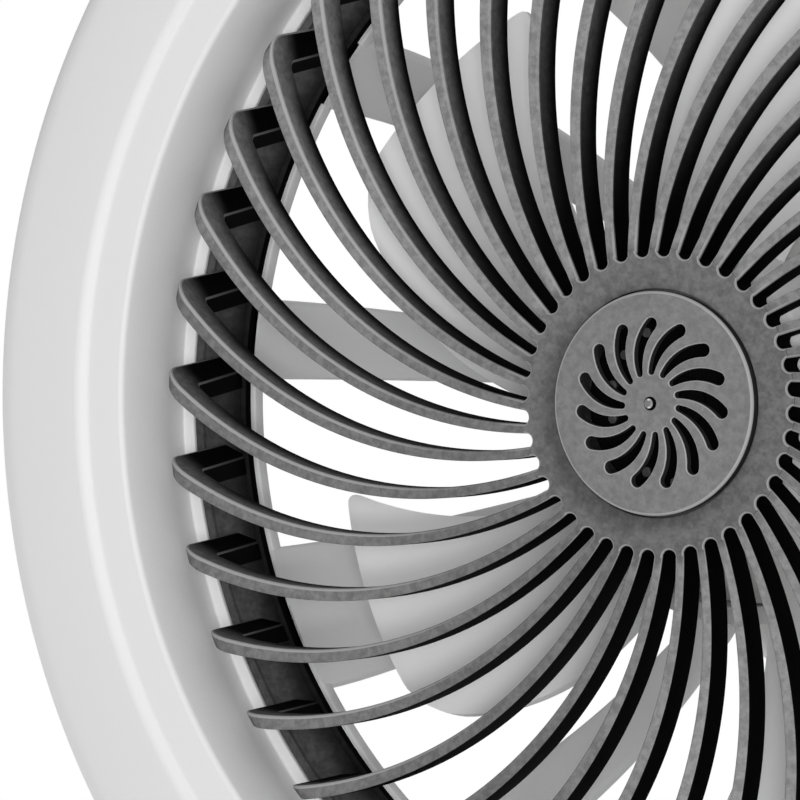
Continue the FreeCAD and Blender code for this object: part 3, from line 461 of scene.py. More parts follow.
def spoke(name, degrees, middle_degrees):
    """One spoke: its side view spun through its own width, with rounded long edges."""
    piece = section_face(name, spoke_section)
    spin(SPOKE_SPIN_STEPS, math.radians(degrees))
    close_up(piece)
    bpy.ops.object.mode_set(mode="EDIT")

    def on_long_edge(edge):
        """Where a flat side of the spoke, a face of many points, meets its face or its back."""
        if min(point.co.xy.length for point in edge.verts) < (SPOKE_END_R + 0.1) * MM:
            return False
        sides = [len(face.verts) > 4 for face in edge.link_faces]
        return len(sides) == 2 and sides[0] != sides[1] and edge.calc_face_angle(0.0) > SHARP

    pick(piece, "EDGE", on_long_edge)
    bpy.ops.mesh.bevel(offset=SPOKE_EDGE * MM, segments=3, affect="EDGES")
    bpy.ops.object.mode_set(mode="OBJECT")
    angles = [math.atan2(point.co.y, point.co.x) for point in piece.data.vertices]
    middle = (min(angles) + max(angles)) / 2
    piece.data.transform(Matrix.Rotation(math.radians(middle_degrees) - middle, 4, "Z"))
    return piece


def join(piece, *others):
    """Makes several meshes one piece."""
    only(piece)
    for other in others:
        other.select_set(True)
    bpy.ops.object.join()


rear_housing = turned("rear_housing_moulding", [
    (HOUSING_BORE_R, BACK_D, 0.4), (CASING_R - CASING_WALL, BACK_D, 0),
    (CASING_R - CASING_WALL, PARTING_D, 0.3), (CASING_R, PARTING_D, 0.4), (CASING_R, CASING_D, 4.0),
    (HOUSING_BORE_R, CASING_D, 0.8)], steps=288)
motor_cup = turned("motor_cup", [
    (CUP_BORE_R, BACK_D, 0.4), (CUP_R, BACK_D, 0.4), (CUP_R, CUP_TOP_D, 0.5),
    (CUP_BORE_R, CUP_TOP_D, 0.3), (CUP_BORE_R, STEM_FOOT_D, 0.8), (LEAD_HOLE_R, STEM_FOOT_D, 0.3),
    (LEAD_HOLE_R, HUB_PLATE_D, 0.3), (CUP_BORE_R, HUB_PLATE_D, 0)], steps=120)
plain_spokes = spoke("plain_spoke", SPOKE_DEG, SPOKE_PHASE_DEG)
ring_of(plain_spokes, SPOKE_COUNT)
wide_spokes = spoke("wide_spoke", WIDE_SPOKE_DEG, WIDE_PHASE_DEG)
ring_of(wide_spokes, WIDE_COUNT)
join(rear_housing, motor_cup, plain_spokes, wide_spokes)
smooth(rear_housing)
rear_housing.data.materials.append(housing_shaded_white)
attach(rear_housing, "housing")
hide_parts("rear_housing")

# Motor base and bearing tube: a white plate screwed into the cup, with a turned brass tube pressed
# into it that carries a ground steel bearing at each end.
LINES_ROUND_Z = (0.1, 0.1, 1.0)
ground_steel = plated("ground_steel", (0.63, 0.63, 0.64), 0.2, 3000.0, LINES_ROUND_Z)
dress(case_white, "motor_base")
dress(zinc, "motor_screws")
dress(plated("turned_brass", (0.60, 0.42, 0.15), 0.3, 2400.0, LINES_ROUND_Z), "bearing_holder")
dress(ground_steel, "front_bearing", "rear_bearing")

# Stator: a stack of oiled steel laminations pressed on the bearing tube, with a nylon insulator on
# each face and a coil of enamelled copper wire on each of its nine teeth.
oiled_steel = plated(
    "lamination_stack", (0.20, 0.21, 0.24), 0.42, 2600.0, stretch=(0.05, 0.05, 1.0), drift=0.25)
copper = plated("enamelled_copper", (0.58, 0.22, 0.07), 0.3, 3200.0, stretch=(1.0, 1.0, 0.05), drift=0.3)
dress(oiled_steel, "stator_core")
dress(moulding("insulator_nylon", (0.80, 0.77, 0.68), 0.5), "stator_insulators")
dress(copper, "stator_windings")

# Motor board: a ring of green circuit board under the coils, with three black position sensors
# soldered to its front.
dress(board_green, "motor_board")
dress(moulding("sensor_epoxy", (0.02, 0.02, 0.02), 0.55, 1400.0, relief=0.2), "hall_sensors")

# Rotor: a black painted steel can with a ferrite ring glued inside, riveted to a steel boss by
# fifteen small aluminium rivets. Their heads show through the slots of the hub cap.
can_black = moulding("can_black_paint", (0.004, 0.004, 0.004), 0.8, 700.0, relief=0.15, drift=0.2)
can_black.node_tree.nodes["Principled BSDF"].inputs["Specular IOR Level"].default_value = 0.05
ferrite = moulding("bonded_ferrite", (0.05, 0.05, 0.052), 0.65, 1500.0, relief=0.4, drift=0.2)
dress(can_black, "rotor_can", "rotor_boss")
dress(ferrite, "rotor_magnet")
dress(plated("rivet_aluminium", (0.72, 0.72, 0.72), 0.38), "hub_rivets")

# Shaft and clip: a ground steel shaft pressed into the boss, its reduced tip just showing in the
# middle of the hub cap, kept from sliding by a spring clip behind the rear bearing.
dress(ground_steel, "motor_shaft")
dress(zinc, "shaft_clip")

# Impeller: five pale twisted blades moulded on a sleeve that is pressed over the rotor can.
# Their tips have a small round in front and a large one behind.
BLADE_COUNT = 5
BLADE_TIP_R = 74.5
BLADE_T = 2.0
BLADE_ROOT_R = 22.4
LEAD_D = 26.5
TRAIL_D = 19.0
LEAD_LINE = ((22.4, -20.5), (47.1, -11.9), (74.5, 0.0))
TRAIL_LINE = ((22.4, -65.0), (47.0, -51.9), (74.5, -32.0))
LEAD_CORNER = 2.5
TRAIL_CORNER = 6.5
BLADE_PHASE_DEG = 24.0
SLEEVE_BORE_R = 20.96
SLEEVE_R = 23.86
SLEEVE_LIP_R = 18.96
LIP_D = 7.7
CAN_D = 9.5
SLEEVE_END_D = 31.0
BLADE_GRID = 30
BLADE_EDGE = 0.55
BLADE_EDGE_DEG = 50.0
blade_pale = moulding("impeller_pale", (0.87, 0.87, 0.87), 0.45, 900.0, relief=0.06, drift=0.02)


def curve_at(line, radius):
    """The value at a radius, on the curve through three points of a radius and a value."""
    total = 0.0
    for index, (own, value) in enumerate(line):
        weight = 1.0
        for other, _ in line[:index] + line[index + 1:]:
            weight *= (radius - other) / (own - other)
        total += weight * value
    return total


def tip_radius(across):
    """Where the tip lies between the leading edge, 0, and the trailing edge, 1."""
    chord = math.radians(TRAIL_LINE[2][1]) * -BLADE_TIP_R
    for reach, corner in ((across * chord, LEAD_CORNER), ((1 - across) * chord, TRAIL_CORNER)):
        if reach < corner:
            return BLADE_TIP_R - corner + math.sqrt(corner ** 2 - (corner - reach) ** 2)
    return BLADE_TIP_R


bpy.ops.mesh.primitive_grid_add(x_subdivisions=BLADE_GRID, y_subdivisions=BLADE_GRID, size=1.0)
blades = bpy.context.object
blades.name = blades.data.name = "impeller_blades"
for point in blades.data.vertices:
    along = point.co.x + 0.5
    across = 0.5 - 0.5 * math.cos(math.pi * (point.co.y + 0.5))
    radius = BLADE_ROOT_R + along * (tip_radius(across) - BLADE_ROOT_R)
    degrees = (1 - across) * curve_at(LEAD_LINE, radius) + across * curve_at(TRAIL_LINE, radius)
    point.co = spot(radius, LEAD_D + across * (TRAIL_D - LEAD_D), degrees)
bpy.ops.object.mode_set(mode="EDIT")
bpy.ops.mesh.select_all(action="SELECT")
bpy.ops.mesh.normals_make_consistent(inside=False)
pick(blades, "FACE", lambda face: face.normal.z > 0)
bpy.ops.mesh.flip_normals()
bpy.ops.object.mode_set(mode="OBJECT")
wall = blades.modifiers.new("thickness", "SOLIDIFY")
wall.thickness = BLADE_T * MM
wall.offset = -1.0
bpy.ops.object.modifier_apply(modifier=wall.name)
rounded = blades.modifiers.new("rounded_edges", "BEVEL")
rounded.width = BLADE_EDGE * MM
rounded.segments = 3
rounded.limit_method = "ANGLE"
rounded.angle_limit = math.radians(BLADE_EDGE_DEG)
bpy.ops.object.modifier_apply(modifier=rounded.name)
ring_of(blades, BLADE_COUNT, BLADE_PHASE_DEG)
impeller = turned("impeller_moulding", [
    (SLEEVE_LIP_R, LIP_D, 0.4), (SLEEVE_R, LIP_D, 0.8), (SLEEVE_R, SLEEVE_END_D, 0.5),
    (SLEEVE_BORE_R, SLEEVE_END_D, 0.3), (SLEEVE_BORE_R, CAN_D, 0), (SLEEVE_LIP_R, CAN_D, 0.2)], steps=120)
join(impeller, blades)
smooth(impeller, degrees=40.0)
impeller.data.materials.append(blade_pale)
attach(impeller, "rotor")
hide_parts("impeller")

# Motor cover: a bell moulding of white plastic in the housing's pale grey, which is painted shade. It
# slides down the stem over the motor cup and is held by a grub screw in its collar.
COVER_T = 1.8
COVER_TOP_D = 85.8
COVER_ROUND = 6.0
COLLAR_BORE_R = 10.8
COLLAR_R = 14.0
COLLAR_TOP_D = 92.8
motor_cover = turned("motor_cover_bell", [
    (CUP_R, CUP_TOP_D, 0.3), (CUP_R, COVER_TOP_D, COVER_ROUND), (COLLAR_R, COVER_TOP_D, 1.2),
    (COLLAR_R, COLLAR_TOP_D, 0.8), (COLLAR_BORE_R, COLLAR_TOP_D, 0.3),
    (COLLAR_BORE_R, COVER_TOP_D - COVER_T, 0.3),
    (CUP_R - COVER_T, COVER_TOP_D - COVER_T, COVER_ROUND - COVER_T),
    (CUP_R - COVER_T, CUP_TOP_D, 0.3)], steps=144)
smooth(motor_cover)
motor_cover.data.materials.append(housing_shaded_white)
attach(motor_cover, "housing")
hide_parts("motor_cover")

# Grille: one grey moulding of forty swept bars. Its finish paints the bars' sides and the deep base ring
# black as painted shade. Each bar turns back into a leg that stands on a dished base ring.
BAR_COUNT = 40
BAR_ROOT_W = 1.5
BAR_W = 2.4
BAR_T = 5.5
BAR_FALL = 3.0
BAR_START_R = 21.2
BAR_ROOT_R = 23.4
BAR_ARC_R = 78.0
BAR_SWEEP_DEG = 30.4
BAR_PHASE_DEG = 7.75
BAR_EDGE = 0.55
BAR_BACK_EDGE = 0.2
BAR_STATIONS = 34
TIP_R = 94.55
TIP_ROUND = 4.0
FOOT_R = 97.55
FOOT_D = 27.4
LEG_W = 3.5
HUB_RING_R = 23.8
HUB_RING_T = 5.0
CAP_SEAT_R = 17.6
CAP_SEAT_D = 1.0
SPIGOT_BORE_R = 15.03
NOTCH_R = 1.17
NOTCH_EDGE = 0.3
BASE_R = 101.15
BASE_BORE_R = 93.15
BASE_LIP_D = 26.2
DISH_BORE_R = 94.35
DISH_FOOT_D = 26.8
DISH_R = 99.55
DISH_TOP_D = 23.4
LEDGE_D = 22.6
CORNER_SEGMENTS = 8
LEG_CUTS = 6
INNER_ROUND = 1.2
FRONT_INSET = 0.004
NUDGE = 0.01
BAR_TILT = 0.2
LEG_TILT = 0.6
SIDE_TILT = 0.9
BEVEL_TILT = (0.15, 0.99)
# How light the bars' eased edges are painted: a painted highlight, by the way each bevel faces.
BEVEL_HIGHLIGHT = ((0.4, 0.8), (0.85, 1.0), (0.99, 0.6))
BACK_HIGHLIGHT = 0.35
ROOT_HIGHLIGHT = 0.7
ROOT_HIGHLIGHT_R = 36.0
ROOT_HIGHLIGHT_FADE = 10.0
NOTCH_REACH = 4.0
NOTCH_RIM = 0.6
CHAMFER_MIDDLE = 0.3
TOOL_CLEAR = 0.01


def bar_angle(radius):
    """The angle of a bar's middle line at a radius, on its arc from hub ring to tip."""
    sweep = math.radians(BAR_SWEEP_DEG)
    root = Vector((BAR_ROOT_R, 0.0))
    chord = Vector((TIP_R * math.cos(sweep), TIP_R * math.sin(sweep))) - root
    rise = math.sqrt(BAR_ARC_R ** 2 - chord.length_squared / 4)
    centre = root + chord / 2 + Vector((-chord.y, chord.x)).normalized() * rise
    cosine = (radius ** 2 + centre.length_squared - BAR_ARC_R ** 2) / (2 * radius * centre.length)
    return math.atan2(centre.y, centre.x) - math.acos(max(-1.0, min(1.0, cosine)))


def polyline(name, points, corner_setback):
    """A line of three points with its corner eased and its straight runs divided evenly."""
    piece = drawn(name, points)
    ease(piece, points[1], corner_setback, CORNER_SEGMENTS)
    for end, cuts in ((points[0], BAR_STATIONS), (points[2], LEG_CUTS)):
        pick(piece, "EDGE", lambda edge: any((point.co - end).length < NEAR for point in edge.verts))
        bpy.ops.mesh.subdivide(number_cuts=cuts)
    bpy.ops.object.mode_set(mode="OBJECT")
    return piece


# The bar is modelled straight, along X with its radius as its length, and then swept round.
bars = polyline("grille_bars", [
    spot(BAR_START_R, FRONT_INSET), spot(TIP_R, BAR_FALL), spot(FOOT_R, FOOT_D)], TIP_ROUND)
under = polyline("bar_underside", [
    spot(BAR_START_R, BAR_T), spot(TIP_R - LEG_W, BAR_FALL + BAR_T),
    spot(FOOT_R - LEG_W, FOOT_D)], INNER_ROUND)
join(bars, under)
bpy.ops.object.mode_set(mode="EDIT")
bpy.ops.mesh.select_mode(type="EDGE")
bpy.ops.mesh.select_all(action="SELECT")
bpy.ops.mesh.bridge_edge_loops()
bpy.ops.mesh.select_all(action="SELECT")
bpy.ops.transform.translate(value=(0, -0.5 * MM, 0))
bpy.ops.mesh.extrude_region_move(TRANSFORM_OT_translate={"value": (0, MM, 0)})
close_up(bars)
for point in bars.data.vertices:
    point.co.y *= BAR_W
bpy.ops.object.mode_set(mode="EDIT")


def faces_front(face):
    """The bar's front or the leg's outer face."""
    return face.normal.z < -BAR_TILT or face.normal.x > LEG_TILT


def faces_back(face):
    """The bar's underside or the leg's inner face."""
    return face.normal.z > BAR_TILT or face.normal.x < -LEG_TILT


def long_edge(edge, sign, faces):
    """Where the bar's hollow side, sign 1, or bulging side, sign -1, meets its front or its back."""
    if len(edge.link_faces) != 2 or edge.calc_face_angle(0.0) < SHARP:
        return False
    sides = [face for face in edge.link_faces if sign * face.normal.y > SIDE_TILT]
    others = [face for face in edge.link_faces if faces(face)]
    return len(sides) == 1 and len(others) == 1 and sides[0] is not others[0]


def mark_faces(piece, name, value_of):
    """Keeps a value on each face of a mesh, for its finish to read."""
    mark = piece.data.attributes.new(name, "FLOAT", "FACE")
    for face in piece.data.polygons:
        mark.data[face.index].value = value_of(face)


def bar_highlight(face):
    """How light a bevel's painted highlight is: on the hollow side all along, on the bulging side near the
    root.
    """
    tilt = face.normal.y
    if not BEVEL_TILT[0] <= abs(tilt) <= BEVEL_TILT[1]:
        return 0.0
    if tilt < 0.0:
        return ROOT_HIGHLIGHT * max(0.0, min(1.0, (ROOT_HIGHLIGHT_R - face.center.x / MM) / ROOT_HIGHLIGHT_FADE))
    if faces_back(face):
        return BACK_HIGHLIGHT
    return next(shine for limit, shine in BEVEL_HIGHLIGHT if tilt <= limit)


for sign, setback in ((1, BAR_EDGE), (-1, BAR_BACK_EDGE)):
    pick(bars, "EDGE", lambda edge: long_edge(edge, sign, faces_front))
    bpy.ops.mesh.bevel(offset=setback * MM, segments=3, affect="EDGES", clamp_overlap=False)
pick(bars, "EDGE", lambda edge: long_edge(edge, 1, faces_back))
bpy.ops.mesh.bevel(offset=BAR_BACK_EDGE * MM, segments=1, affect="EDGES", clamp_overlap=False)
bpy.ops.object.mode_set(mode="OBJECT")
# Each face keeps its share of the painted highlight on the eased edges.
mark_faces(bars, "highlit_edge", bar_highlight)
mark_faces(bars, "hollow_side", lambda face: 1.0 if face.normal.y > BEVEL_TILT[0] else 0.0)
for point in bars.data.vertices:
    radius = point.co.x / MM
    middle = bar_angle(radius)
    lean = radius * (bar_angle(radius + NUDGE) - bar_angle(radius - NUDGE)) / (2 * NUDGE)
    width = BAR_ROOT_W + (BAR_W - BAR_ROOT_W) * (radius - BAR_START_R) / (FOOT_R - BAR_START_R)
    taper = width / BAR_W
    across = point.co.y / MM * taper * math.sqrt(1 + lean ** 2)
    depth = point.co.z / MM - FACE
    point.co = spot(radius, depth, math.degrees(middle + across / radius))
ring_of(bars, BAR_COUNT, BAR_PHASE_DEG)
smooth(bars, degrees=14.0)

hub_ring = turned("grille_hub_ring", [
    (CAP_SEAT_R, 0.0, 0.3), (HUB_RING_R, 0.0, 0), (HUB_RING_R, HUB_RING_T, 0),
    (SPIGOT_BORE_R, HUB_RING_T, 0.3), (SPIGOT_BORE_R, CAP_SEAT_D, 0),
    (CAP_SEAT_R, CAP_SEAT_D, 0)], steps=320)
notches = turned("hub_ring_notches", [
    (0.0, -NOTCH_REACH, 0), (NOTCH_R + NOTCH_EDGE, -NOTCH_REACH, 0),
    (NOTCH_R + NOTCH_EDGE, -TOOL_CLEAR, 0),
    (NOTCH_R + CHAMFER_MIDDLE * NOTCH_EDGE, CHAMFER_MIDDLE * NOTCH_EDGE, 0), (NOTCH_R, NOTCH_EDGE, 0),
    (NOTCH_R, HUB_RING_T + NOTCH_REACH, 0), (0.0, HUB_RING_T + NOTCH_REACH, 0)], steps=36)
notches.data.transform(Matrix.Translation((HUB_RING_R * MM, 0, 0)))
ring_of(notches, BAR_COUNT, BAR_PHASE_DEG + 180.0 / BAR_COUNT)
cut(hub_ring, notches)


def notch_highlight(face):
    """The eased rims of the notches get a painted highlight, the ring's inner rim does not."""
    at_notch = face.center.xy.length > (HUB_RING_R - NOTCH_R - NOTCH_RIM) * MM
    return 1.0 if at_notch and 0.1 < -face.normal.z < 0.97 else 0.0


mark_faces(hub_ring, "highlit_edge", notch_highlight)
smooth(hub_ring, degrees=14.0)

base_ring = turned("grille_base_ring", [
    (BASE_BORE_R, BACK_D, 0.2), (BASE_BORE_R, BASE_LIP_D, 0.3), (DISH_BORE_R, BASE_LIP_D, 0.3),
    (DISH_BORE_R, DISH_FOOT_D, 0.2), (DISH_R, DISH_TOP_D, 0.3), (DISH_R, LEDGE_D, 0.2),
    (BASE_R, LEDGE_D, 0.3), (BASE_R, BACK_D, 0.2)], steps=240)
smooth(base_ring)

# The finish: grey fronts, with painted shade that turns the sides and the base ring black, painted light
# down the hollow sides and on the fronts towards two sides, painted highlights on the edges and a painted
# shadow round the cap. Each mask works by a place's radius, its depth behind the bar's front and the way
# it faces. The spans of radius, depth and X are in millimetres.
SPRAY_GREY = (0.151, 0.151, 0.153)
EDGE_HIGHLIGHT_GREY = (0.390, 0.390, 0.392)
WALL_SHADE_BLACK = (0.0015, 0.0015, 0.0015)
LIT_BARS_R = (23.4, 26.0)
BLOTCHES_PER_M = 700.0
CAP_SHADOW_MIDDLE = (-0.0012, 0.0009, FACE * MM)
CAP_SHADOW_R = (17.0, 20.6)
SIDE_LIGHT_REACH = 5.0
TIP_SIDE_LIGHT_REACH = 9.0
TIP_SIDE_LIGHT_R = (80.0, TIP_R)
OPEN_GAP_R = (28.0, 66.0)
LIT_SIDE_X = (-60.0, -20.0)
FRONT_TILT = (-0.6, -0.08)
LEG_FRONT_TILT = (-0.85, -0.35)
LEG_FRONT_R = (90.0, 96.0)
BASE_SHADE_D = (4.0, 18.0)
BASE_SHADE_R = (94.5, 98.5)
BASE_RIM_R = (98.8, 99.3)
HIGHLIGHT_R = (26.0, 58.0)
HIGHLIGHT_D = (4.0, 22.0)
HIGHLIGHT_SIDE_X = (-60.0, -25.0)
HIGHLIGHT_NOTCH_R = (25.5, 30.0)
grille_shaded_grey = bpy.data.materials.new("grille_grey_painted_shade")
tree, shader, place, tone = grain_nodes(grille_shaded_grey, 0.68, grain_per_m=1500.0, relief=0.22)
shader.inputs["Specular IOR Level"].default_value = 0.01


def number(tree, operation, first, second=0.0, third=0.0):
    """One step of arithmetic on sockets or numbers."""
    step = tree.nodes.new("ShaderNodeMath")
    step.operation = operation
    for index, value in enumerate((first, second, third)):
        if isinstance(value, bpy.types.NodeSocket):
            tree.links.new(value, step.inputs[index])
        else:
            step.inputs[index].default_value = value
    return step.outputs[0]


def times(tree, product, *factors):
    """The product of several sockets or numbers."""
    for factor in factors:
        product = number(tree, "MULTIPLY", product, factor)
    return product


def ramp(tree, value, span, ends):
    """A number that goes smoothly from one end to the other while a value crosses a span."""
    step = tree.nodes.new("ShaderNodeMapRange")
    step.interpolation_type = "SMOOTHSTEP"
    tree.links.new(value, step.inputs["Value"])
    for name, limit in zip(("From Min", "From Max", "To Min", "To Max"), (*span, *ends)):
        step.inputs[name].default_value = limit
    return step.outputs["Result"]


def ramp_mm(tree, length, span, ends):
    """The same for a length, its span given in millimetres."""
    return ramp(tree, length, (span[0] * MM, span[1] * MM), ends)


def mottle(tree, place, strength):
    """A factor round 1 that darkens and lightens a sprayed skin in small blotches."""
    blotches = tree.nodes.new("ShaderNodeTexNoise")
    blotches.inputs["Scale"].default_value = BLOTCHES_PER_M
    blotches.inputs["Detail"].default_value = 3.0
    blotches.inputs["Roughness"].default_value = 0.65
    tree.links.new(place, blotches.inputs["Vector"])
    return ramp(tree, blotches.outputs["Fac"], (0.3, 0.7), (1.0 - strength, 1.0 + strength))


def face_mark(tree, name):
    """The value that mark_faces kept on each face."""
    mark = tree.nodes.new("ShaderNodeAttribute")
    mark.attribute_name = name
    return mark.outputs["Fac"]


def parts_of(tree, vector):
    """The X, Y and Z of a vector."""
    parts = tree.nodes.new("ShaderNodeSeparateXYZ")
    tree.links.new(vector, parts.inputs[0])
    return parts.outputs["X"], parts.outputs["Y"], parts.outputs["Z"]


def normal_z(tree):
    """How far a face looks up, 1, or down, -1."""
    return parts_of(tree, tree.nodes.new("ShaderNodeTexCoord").outputs["Normal"])[2]


x, y, z = parts_of(tree, place)
radius = number(tree, "SQRT", number(tree, "ADD", times(tree, x, x), times(tree, y, y)))
fall = times(tree, number(tree, "SUBTRACT", radius, BAR_START_R * MM), BAR_FALL / (TIP_R - BAR_START_R))
depth = number(tree, "SUBTRACT", number(tree, "SUBTRACT", z, FACE * MM), fall)

# Painted light down the bars' hollow sides: it fades with depth into the painted shade, reaches further
# near the tips and is stronger towards -X.
reach = ramp_mm(tree, radius, TIP_SIDE_LIGHT_R, (SIDE_LIGHT_REACH * MM, TIP_SIDE_LIGHT_REACH * MM))
side_light = ramp(tree, number(tree, "DIVIDE", depth, reach), (0.05, 1.0), (0.8, 0.0))
side_light = times(tree, side_light, face_mark(tree, "hollow_side"),
                      ramp_mm(tree, radius, OPEN_GAP_R, (0.0, 1.0)),
                      ramp_mm(tree, x, LIT_SIDE_X, (1.0, 0.3)))

# Painted shade: faces that do not look forward go black, more strictly on the legs.
looks_up = normal_z(tree)
front = between(tree, ramp_mm(tree, radius, LEG_FRONT_R, (0.0, 1.0)),
                ramp(tree, looks_up, FRONT_TILT, (1.0, 0.0)),
                ramp(tree, looks_up, LEG_FRONT_TILT, (1.0, 0.0)))
# Painted shade on the base ring, deep behind the bars: darker towards its bore, a little lighter on its
# outer rim.
at_base = ramp_mm(tree, depth, BASE_SHADE_D, (0.0, 1.0))
base_lit_share = ramp_mm(tree, radius, BASE_SHADE_R, (0.08, 0.42))
front = times(tree, front, between(tree, at_base, 1.0, base_lit_share))
rim_lit_share = times(tree, at_base, ramp_mm(tree, radius, BASE_RIM_R, (0.0, 0.45)))
unshaded = number(tree, "MAXIMUM", number(tree, "MAXIMUM", front, rim_lit_share), side_light)

# Painted shadow of the hub cap on the hub ring: a soft darkening round a point set off the cap's middle.
off_cap = tree.nodes.new("ShaderNodeVectorMath")
off_cap.operation = "DISTANCE"
tree.links.new(place, off_cap.inputs[0])
off_cap.inputs[1].default_value = CAP_SHADOW_MIDDLE
unshaded = times(tree, unshaded, ramp_mm(tree, off_cap.outputs["Value"], CAP_SHADOW_R, (0.6, 1.0)))

# Painted highlight on the eased edges: stronger towards -X and near the hub's notches, less with depth.
highlight_side = ramp_mm(tree, x, HIGHLIGHT_SIDE_X, (1.0, 0.1))
highlight_notch = ramp_mm(tree, radius, HIGHLIGHT_NOTCH_R, (1.0, 0.0))
edge_highlight = times(tree, face_mark(tree, "highlit_edge"), ramp_mm(tree, radius, HIGHLIGHT_R, (0.6, 1.0)),
                   ramp_mm(tree, depth, HIGHLIGHT_D, (1.0, 0.25)),
                   number(tree, "MAXIMUM", highlight_side, highlight_notch))


def lighter_towards(degrees, span, least):
    """A painted light that goes from a least share to 1 as a place on the grille turns to one side."""
    angle = math.radians(degrees)
    along = number(tree, "MULTIPLY_ADD", x, math.cos(angle), times(tree, y, math.sin(angle)))
    return ramp(tree, number(tree, "DIVIDE", along, radius), span, (least, 1.0))


# Painted light: the bars' fronts are painted lighter towards -Y and towards +Y, none on the hub ring.
minus_y_light = lighter_towards(262.0, span=(0.0, 0.9), least=0.12)
plus_y_light = lighter_towards(62.0, span=(0.6, 1.0), least=0.0)
lit_bars = number(tree, "MAXIMUM", minus_y_light, plus_y_light)
lit_bars = times(tree, lit_bars, ramp_mm(tree, radius, LIT_BARS_R, (0.0, 1.0)))
plain_grey = toned(tree, tone, SPRAY_GREY, low=0.35, high=1.65)
lit_grey = toned(tree, tone, SPRAY_GREY, low=0.9, high=2.3)
grey = times(tree, between(tree, lit_bars, plain_grey, lit_grey), mottle(tree, place, strength=0.2))
# Painted shade: where the mask is low, the grey gives way to black.
shaded_grey = between(tree, unshaded, WALL_SHADE_BLACK, grey)
# Painted highlight: the eased edges turn a lighter grey.
tree.links.new(between(tree, edge_highlight, shaded_grey, EDGE_HIGHLIGHT_GREY), shader.inputs["Base Color"])

grille = bars
join(grille, hub_ring, base_ring)
grille.name = grille.data.name = "grille_moulding"
grille.data.materials.append(grille_shaded_grey)
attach(grille, "housing")
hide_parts("grille", "grille_legs", "grille_base")

# Grille screws: four small zinc-plated pan heads, driven from behind through the back ring into
# the grille's base.
grille_screws = cross_screw(
    "grille_cross_screws", shank_r=1.3, head_r=2.5, head_h=1.5, length=4.6,
    radius=98.55, seat_d=CASING_D)
ring_of(grille_screws, count=4)
smooth(grille_screws)
grille_screws.data.materials.append(zinc)
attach(grille_screws, "housing")
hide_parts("grille_screws")

# Hub cap: a slightly domed grey disc that plugs into the hub ring, pierced by a pinwheel of
# fifteen swept slots and a small hole for the shaft's tip.
CAP_R = 17.3
CAP_HOLE_R = 1.05
CAP_FRONT_D = -1.0
CAP_DOME = 0.7
CAP_T = 1.2
SPIGOT_R = 15.0
SPIGOT_T = 0.9
CAP_SLOTS = 15
SLOT_LINE = ((4.9, -20.4, 1.0), (8.4, -12.24, 1.75), (12.2, 1.2, 2.05))
SLOT_PHASE_DEG = -19.5
SLOT_EDGE = 0.18
SLOT_STATIONS = 12
SLOT_END_STEPS = 8
SLOT_TOOL_D = (-4.0, 3.0)
SLOT_RIM_D = 0.2
SLOT_RIM_R = 3.5
DOME_STEPS = 8


def dome_depth(radius):
    """The depth of the cap's domed face at a radius."""
    return CAP_FRONT_D - CAP_DOME * (1 - (radius / CAP_R) ** 2)


dome_radii = [CAP_R * step / DOME_STEPS for step in range(1, DOME_STEPS)]
hub_cap = turned("hub_cap_disc", [
    (CAP_HOLE_R, CAP_FRONT_D - CAP_DOME, 0.15),
    *[(radius, dome_depth(radius), 0) for radius in dome_radii],
    (CAP_R, CAP_FRONT_D, 0.4), (CAP_R, CAP_SEAT_D, 0.2), (SPIGOT_R, CAP_SEAT_D, 0),
    (SPIGOT_R, HUB_RING_T, 0.2), (SPIGOT_R - SPIGOT_T, HUB_RING_T, 0.2),
    (SPIGOT_R - SPIGOT_T, CAP_FRONT_D + CAP_T, 0),
    (CAP_HOLE_R, CAP_FRONT_D + CAP_T - CAP_DOME, 0)], steps=240)


def slot_outline(wider, level):
    """A slot's outline, wider by a margin all round, each point at the depth that level gives it."""
    angles = [(radius, degrees) for radius, degrees, _ in SLOT_LINE]
    widths = [(radius, width) for radius, _, width in SLOT_LINE]
    low, high = SLOT_LINE[0][0], SLOT_LINE[2][0]
    stations = []
    for step in range(SLOT_STATIONS + 1):
        radius = low + (high - low) * step / SLOT_STATIONS
        here = spot(radius, 0.0, curve_at(angles, radius))
        ahead = (spot(radius + NUDGE, 0.0, curve_at(angles, radius + NUDGE)) - here).normalized()
        side = Vector((-ahead.y, ahead.x, 0.0))
        stations.append((here, ahead, side, (curve_at(widths, radius) / 2 + wider) * MM))
    one = [here - side * reach for here, _, side, reach in stations]
    two = [here + side * reach for here, _, side, reach in stations]
    turns = [math.pi * step / SLOT_END_STEPS for step in range(1, SLOT_END_STEPS)]
    ends = []
    for (here, ahead, side, reach), out in ((stations[-1], 1), (stations[0], -1)):
        round_end = [ahead * math.sin(turn) - side * math.cos(turn) for turn in turns]
        ends.append([here + out * way * reach for way in round_end])
    outline = []
    for point in one + ends[0] + two[::-1] + ends[1]:
        radius = point.xy.length / MM
        outline.append(spot(radius, level(radius), math.degrees(math.atan2(point.y, point.x))))
    return outline


